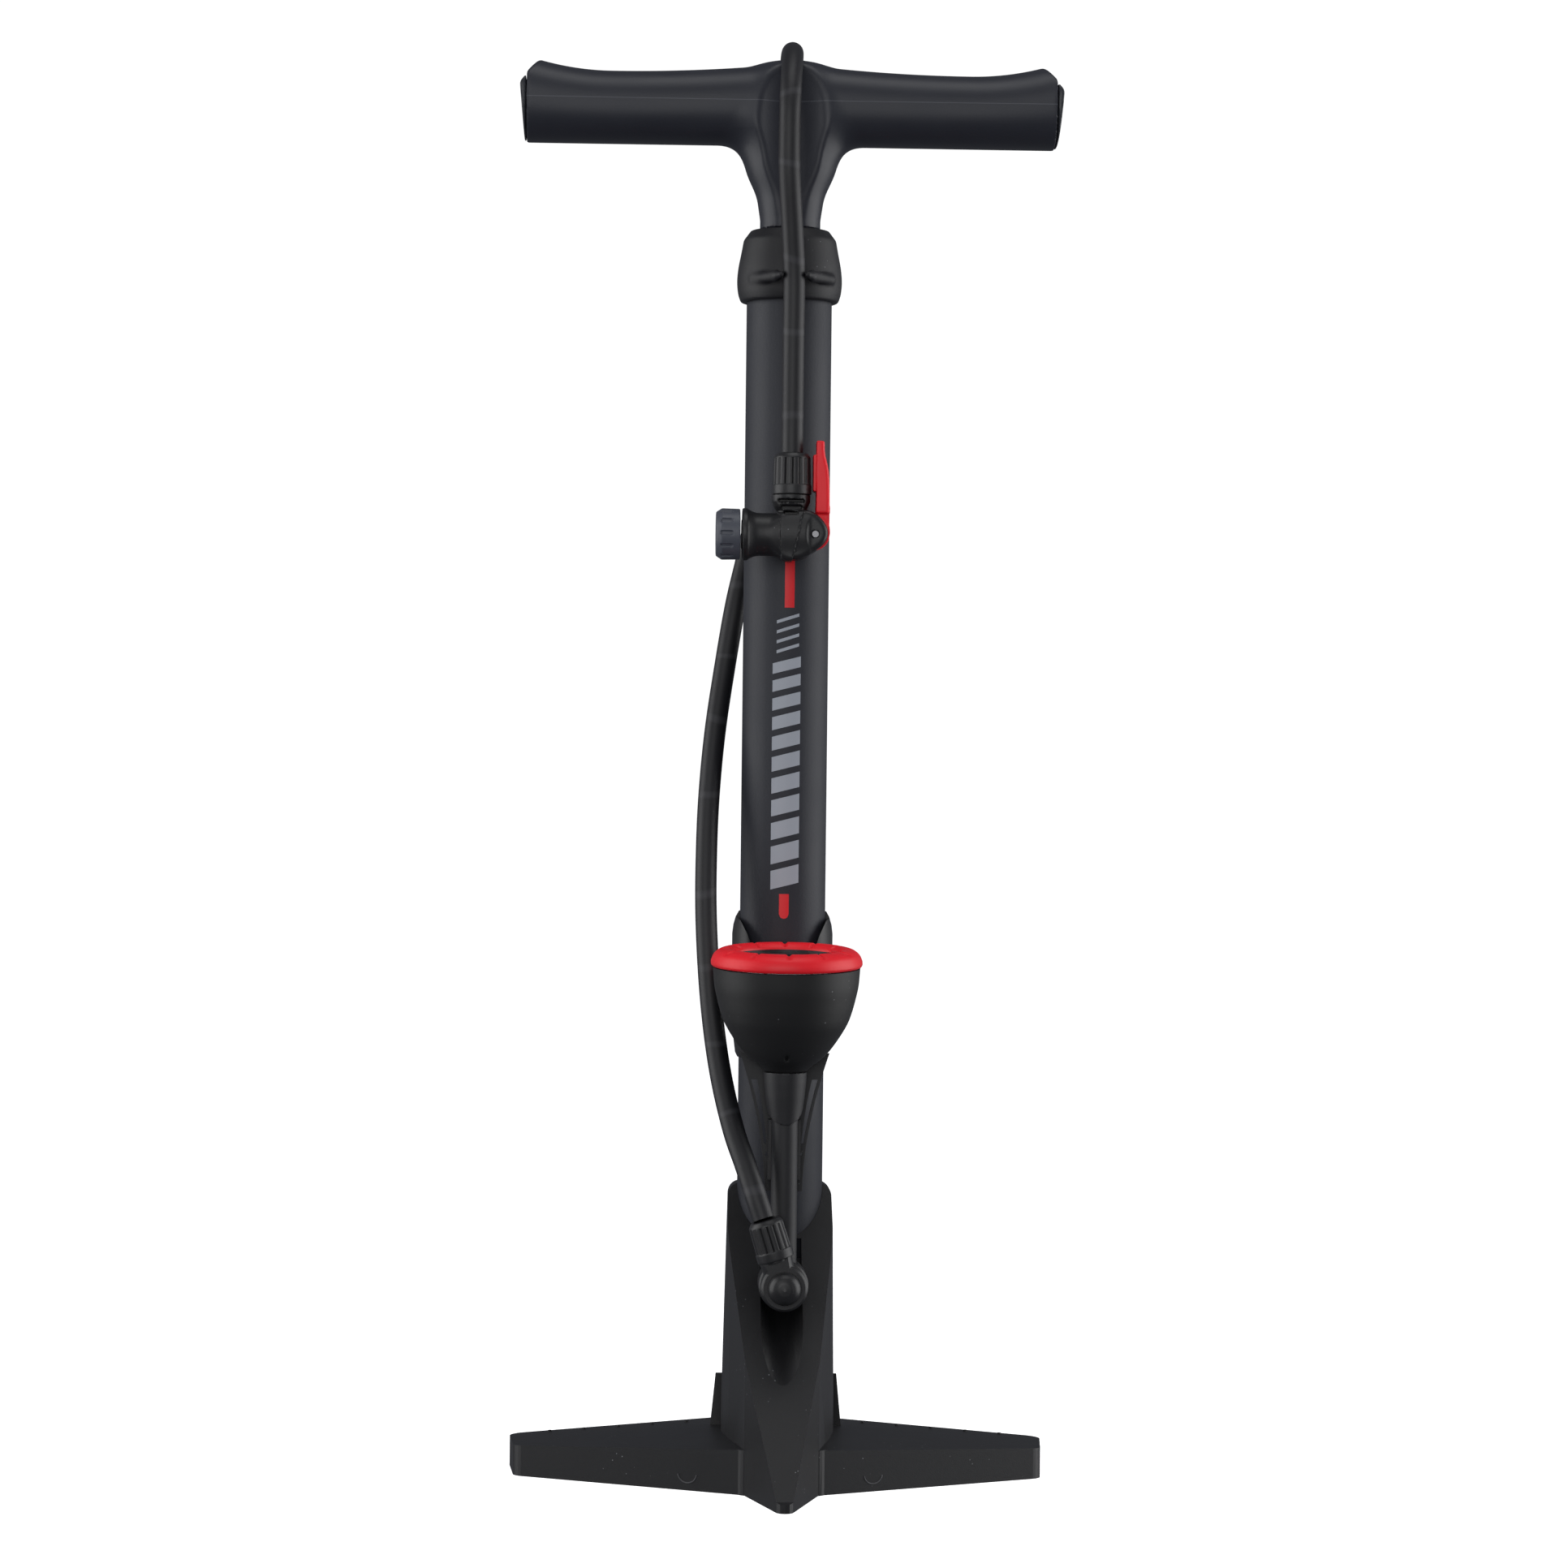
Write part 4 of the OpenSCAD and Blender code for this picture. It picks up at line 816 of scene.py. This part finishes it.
def cap_nut_wave(radius, height, angles):
    """Twelve round-ended recesses in the outer wall of the valve cap nut, as turned()'s wave."""
    wall_r = 10.5
    if radius <= wall_r:
        return np.full(len(angles), radius)
    low, high, count, half = 25.6, 31.4, 12, 1.15
    depth, bank = 0.75, 0.35
    across = (angles * count / (2 * math.pi) + 0.5) % 1 - 0.5
    across = across * 2 * math.pi / count * radius
    beyond = max(low + half - height, height - high + half, 0)
    gap = np.hypot(across, beyond) - half
    return radius - depth * np.clip(-gap / bank, 0, 1)


def add_head():
    """Body, lever and cap nut of the valve head."""
    cell = 0.5
    points, faces = skin_of(head_field, HEAD + (-23, -12, -13), HEAD + (19, 12, 19), cell)
    body = add_piece("valve_head_body", points, faces, "head_plastic", "pump_body",
                     ["head_body", "head_neck"])
    points, faces = skin_of(lever_field, HEAD + (3, -8, -9), HEAD + (18, 8, 43), cell)
    lever = add_piece("thumb_lever", points, faces, "red_plastic", "lever", ["head_lever"])
    profile = rounded([(8.2, 22.6), (11.1, 22.6), (11.3, 30.6), (9.6, 33.2), (4.3, 33.2),
                       (4.3, 30.0), (8.2, 30.0)], 0.5, closed=True)
    fine = finely(list(profile) + [profile[0]], 0.4)[:-1]
    points, faces = turned(fine, HEAD, (-1, 0, 0), sides=240, closed=True, wave=cap_nut_wave)
    nut = add_piece("valve_cap", points, faces, "grey_plastic", "pump_body", ["valve_cap_nut"],
                    sharp=50)
    return [body, lever, nut]


# ---- gauge ----

# The gauge is shaped upright about its stem and then leaned; heights are those before the lean
GAUGE = centre_of("stem_tube") * (1, 1, 0)
GAUGE_TILT = 3.8
BOWL_FOOT_Z = 183.7
BEZEL_Z = 228.8
DIAL_TOP_Z = BEZEL_Z - 2.2
WINDOW_R = 21.8


def leaned(points):
    """Points of an upright gauge, leaned forward about the bowl's foot."""
    foot = GAUGE + (0, 0, BOWL_FOOT_Z)
    lean = np.array(Matrix.Rotation(math.radians(GAUGE_TILT), 3, "X"))
    return (points - foot) @ lean.T + foot


def add_bowl():
    """Bowl of the gauge, with the drain hole low on its front."""
    rim = BEZEL_Z - 0.3
    outside = smooth_line([(9.5, BOWL_FOOT_Z), (12, 186), (16.9, 189.9), (21.7, 195.9),
                           (26.4, 203.6), (28.6, 209.4), (30.2, 215.5), (31.3, 221), (31.9, rim)], 8)
    inside = [(29.4, rim), (29.4, rim - 2), (24.0, rim - 3.6), (24.0, rim - 12)]
    profile = [(6.3, BOWL_FOOT_Z)] + finely(outside, 0.7) + inside
    points, faces = turned(profile, GAUGE, sides=200)
    # The hole is a dent in the front wall, taller than it is wide
    hole = GAUGE + (0, -17.5, 190.9)
    hole_r, hole_depth = 1.5, 2.0
    off = points - hole
    from_hole = np.hypot(off[:, 0] * 1.25, off[:, 2] * 0.8)
    in_front = off[:, 1] < 6
    points[:, 1] += hole_depth * np.clip(hole_r - from_hole, 0, 1) * in_front
    add_piece("gauge_cup", leaned(points), faces, "bowl_plastic", "pump_body", ["gauge_bowl"],
              sharp=55)


def add_bezel():
    """Red bezel ring with shallow notches across its crest. Its marker is a CAD node."""
    outer = 32.9
    z = BEZEL_Z
    section = rounded([(29.6, z + 0.1), (outer - 0.7, z + 0.1), (outer, z + 1.1),
                       (outer - 0.1, z + 2.8), (outer - 1.2, z + 5.4), (outer - 3.6, z + 7.3),
                       (outer - 6.2, z + 8.0), (outer - 8.4, z + 7.8), (WINDOW_R + 1.0, z + 6.6),
                       (WINDOW_R, z + 5.4), (WINDOW_R, z + 3.4), (29.6, z + 3.4)],
                      [0.2, 0.5, 0.9, 1.8, 2, 2, 2, 2, 0.8, 0.6, 0.2, 0.2], closed=True)
    points, faces = turned(section, GAUGE, sides=360, closed=True)
    off = points - GAUGE
    angle = np.arctan2(off[:, 1], off[:, 0])
    notches, notch_depth, notch_foot = 12, 0.85, 5.9
    pulse = np.clip((np.cos(notches * (angle - math.pi / 2)) - 0.86) / 0.14, 0, 1)
    near_crest = np.clip((off[:, 2] - (z + notch_foot)) / 1.3, 0, 1)
    points[:, 2] -= notch_depth * pulse * near_crest
    add_piece("bezel_ring", leaned(points), faces, "red_plastic", "bezel", ["gauge_bezel"], sharp=50)


def add_collar():
    """Sleeve under the bowl, cut on a slant to a tongue at the front."""
    top_z, slant_z, slant = 182.8, 167.0, 1.04
    bore_r = 5.75

    def collar_field(x, y, z):
        spread = np.hypot(x - GAUGE[0], y - GAUGE[1])
        wall = np.interp(z, [154, 160, 166, 172, 178, 184], [6.4, 7.0, 7.7, 8.5, 9.1, 9.5])
        below = slant_z + slant * (y - GAUGE[1]) - z
        whole = trim(trim(spread - wall, z - top_z, 0.3), below, 0.7)
        return np.maximum(whole, bore_r - spread)

    low, high = GAUGE + (-11, -11, 154), GAUGE + (11, 11, 185)
    points, faces = skin_of(collar_field, low, high, 0.6)
    add_piece("stem_sleeve", points, faces, "stem_plastic", "pump_body", ["stem_collar"])


# The dial's scale: how far it goes round from where, its ticks, and how thick the print is
SCALE_START = -135
SCALE_SPAN = 270
TICKS = 32
TICKS_PER_NUMBER = 4
PRINT = 0.06


def tick_angle(number):
    """Where a tick of the dial stands, in degrees about +Z."""
    return SCALE_START - SCALE_SPAN * number / TICKS


def add_dial_scale():
    """Ticks round the dial, longer at the numbers, inside an arc of short bars."""
    z = DIAL_TOP_Z
    tick_outer, arc_inner, arc_outer, arc_half = 19.6, 19.9, 20.3, 0.55
    marks = []
    for k in range(TICKS + 1):
        inner, half = (16.2, 0.28) if k % TICKS_PER_NUMBER == 0 else (17.6, 0.15)
        tick = flat_bar(inner, tick_outer, -half, half, z, z + PRINT)
        marks.append(spun(tick, tick_angle(k)))
    arc_step = 3
    for degrees in range(0, SCALE_SPAN, arc_step):
        dash = flat_bar(arc_inner, arc_outer, -arc_half, arc_half, z, z + PRINT)
        marks.append(spun(dash, SCALE_START - degrees - arc_step / 2))
    points, faces = joined(marks)
    add_piece("dial_scale", leaned(points + GAUGE), faces, "dial_print", "pump_body",
              material="black_print")


def number_mesh(text):
    """Points and faces of a number that lies flat, with its middle at the origin."""
    font = bpy.data.curves.new("number", "FONT")
    font.body = text
    font.size = 4.2
    font.align_x = "CENTER"
    font.align_y = "CENTER"
    font.extrude = PRINT / 2
    holder = bpy.data.objects.new("number", font)
    mesh = bpy.data.meshes.new_from_object(holder)
    points = np.array([vertex.co for vertex in mesh.vertices])
    faces = [tuple(face.vertices) for face in mesh.polygons]
    bpy.data.meshes.remove(mesh)
    bpy.data.objects.remove(holder)
    return points, faces


def add_dial_numbers():
    """The numbers 0 to 16 inside the long ticks."""
    reach = 13.0
    numbers = []
    for k in range(0, TICKS + 1, TICKS_PER_NUMBER):
        points, faces = number_mesh(str(k // 2))
        a = math.radians(tick_angle(k))
        place = (reach * math.cos(a), reach * math.sin(a), DIAL_TOP_Z + PRINT / 2)
        numbers.append((points + place, faces))
    points, faces = joined(numbers)
    add_piece("dial_numbers", leaned(points + GAUGE), faces, "dial_print", "pump_body",
              material="black_print")


# ---- print on the barrel ----

def wrapped_bar(x0, x1, z0, z1, slant, round_end=0.0):
    """A thin printed bar that follows the barrel: x is measured round it from the front. It rises
    by slant from side to side, and round_end is how far its rounded lower end bulges."""
    rows, columns = 13, 8
    sunk = 0.02
    points = []
    for layer in (0, PRINT):
        for i in range(rows):
            t = i / (rows - 1)
            for k in range(columns):
                s = k / (columns - 1)
                rise = slant * (s - 0.5)
                bottom = z0 + rise + round_end * (1 - math.sqrt(max(0, 1 - (2 * s - 1) ** 2)))
                a = (x0 + (x1 - x0) * s) / BARREL_R
                r = BARREL_R + layer - sunk
                points.append((r * math.sin(a), -r * math.cos(a), bottom + (z1 + rise - bottom) * t))
    size = rows * columns
    faces = []
    for i in range(rows - 1):
        for k in range(columns - 1):
            a = i * columns + k
            quad = (a, a + 1, a + columns + 1, a + columns)
            faces.append(quad)
            faces.append(tuple(size + q for q in reversed(quad)))
    bottom_edge = list(range(columns))
    right_edge = [i * columns + columns - 1 for i in range(1, rows)]
    top_edge = [(rows - 1) * columns + k for k in range(columns - 2, -1, -1)]
    left_edge = [i * columns for i in range(rows - 2, 0, -1)]
    rim = bottom_edge + right_edge + top_edge + left_edge
    for a, b in zip(rim, rim[1:] + rim[:1]):
        faces.append((a, b, size + b, size + a))
    return np.array(points), faces


def add_barrel_print():
    """A red stripe, a row of plain slanted bars and a red dash down the front of the barrel."""
    stripe = wrapped_bar(-1.2, 3.1, 385.5, 428, 0)
    dash = wrapped_bar(-2.3, 2.0, 248.1, 259.0, 0, round_end=2.0)
    points, faces = joined([stripe, dash])
    add_piece("barrel_red_print", points, faces, "barrel_coat", "pump_body", material="red_print")
    # Eleven tall bars, each a little lower than the one under it, and four thin ones above them
    slant, half_width, gap = 3.2, 6.3, 2.9
    bars = []
    z = 262.5
    for k in range(11):
        height = 8.2 - 0.35 * k
        bars.append(wrapped_bar(-half_width, half_width, z, z + height, slant))
        z += height + gap
    for k in range(4):
        bars.append(wrapped_bar(-4.6, 5.4, z + 1.5, z + 2.9, slant))
        z += 4.4
    points, faces = joined(bars)
    add_piece("barrel_pale_print", points, faces, "barrel_coat", "pump_body",
              material="white_print")


# ---- marks on the foot ----

def add_foot_marks():
    """A thin raised half circle on the front face of each wing, painted a lighter grey as a painted
    highlight along it.
    """
    mark_x, mark_z, mark_r, wire_r = 40.5, 7.4, 4.0, 0.28
    # The wing's front face in part.scad: where it starts, how far forward, and its fall outwards
    root_x, root_reach, fall = 16, 60, 51 / 101
    proud = 0.05
    marks = []
    for side in (-1, 1):
        arc = []
        for degrees in range(185, 356, 10):
            a = math.radians(degrees)
            along = side * mark_x + mark_r * math.cos(a)
            reach = root_reach - (abs(along) - root_x) * fall + proud
            arc.append((along, -reach, mark_z + mark_r * math.sin(a)))
        marks.append(swept(arc, wire_r, sides=8))
    points, faces = joined(marks)
    # The marks are painted a lighter grey: painted highlight
    add_piece("foot_mould_marks", points, faces, "foot_plastic", "pump_body",
              material="painted_edge_highlight")


# ---- the CAD nodes that stay ----

# Softened edges of the CAD nodes that show, in millimetres
BEVELS = {"foot": 0.9, "gauge_bracket": 0.45, "banjo_body": 0.4, "banjo_bolt": 0.3,
          "outlet_block": 0.4, "lens_retainer": 0.08, "barrel": 0.2, "lever_pin": 0.25,
          "bracket_screw": 0.3, "foot_screws": 0.3, "gauge_socket": 0.2, "guide_bush": 0.3}


def finish_cad_nodes():
    """Gives each CAD node its material, and those in BEVELS softer edges."""
    same_point = 0.004
    sharper_than = 32
    for name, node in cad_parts.items():
        slot = node.data.materials[0].name.split(".")[0]
        node.data.materials[0] = MATERIALS[slot]
        if name in BEVELS:
            weld = node.modifiers.new("weld", "WELD")
            weld.merge_threshold = same_point * MM
            bevel = node.modifiers.new("bevel", "BEVEL")
            bevel.width = BEVELS[name] * MM
            bevel.segments = 3
            bevel.limit_method = "ANGLE"
            bevel.angle_limit = math.radians(sharper_than)
            bevel.harden_normals = True


# ---- the scene ----

add_camera()
add_studio()
add_floor()
MATERIALS = make_materials()
hose = add_hose()
finish_cad_nodes()
add_handle()
add_cap()
hose_nuts = add_hose_nuts()
head_pieces = add_head()
add_bowl()
add_bezel()
add_collar()
add_dial_scale()
add_dial_numbers()
add_barrel_print()
add_foot_marks()
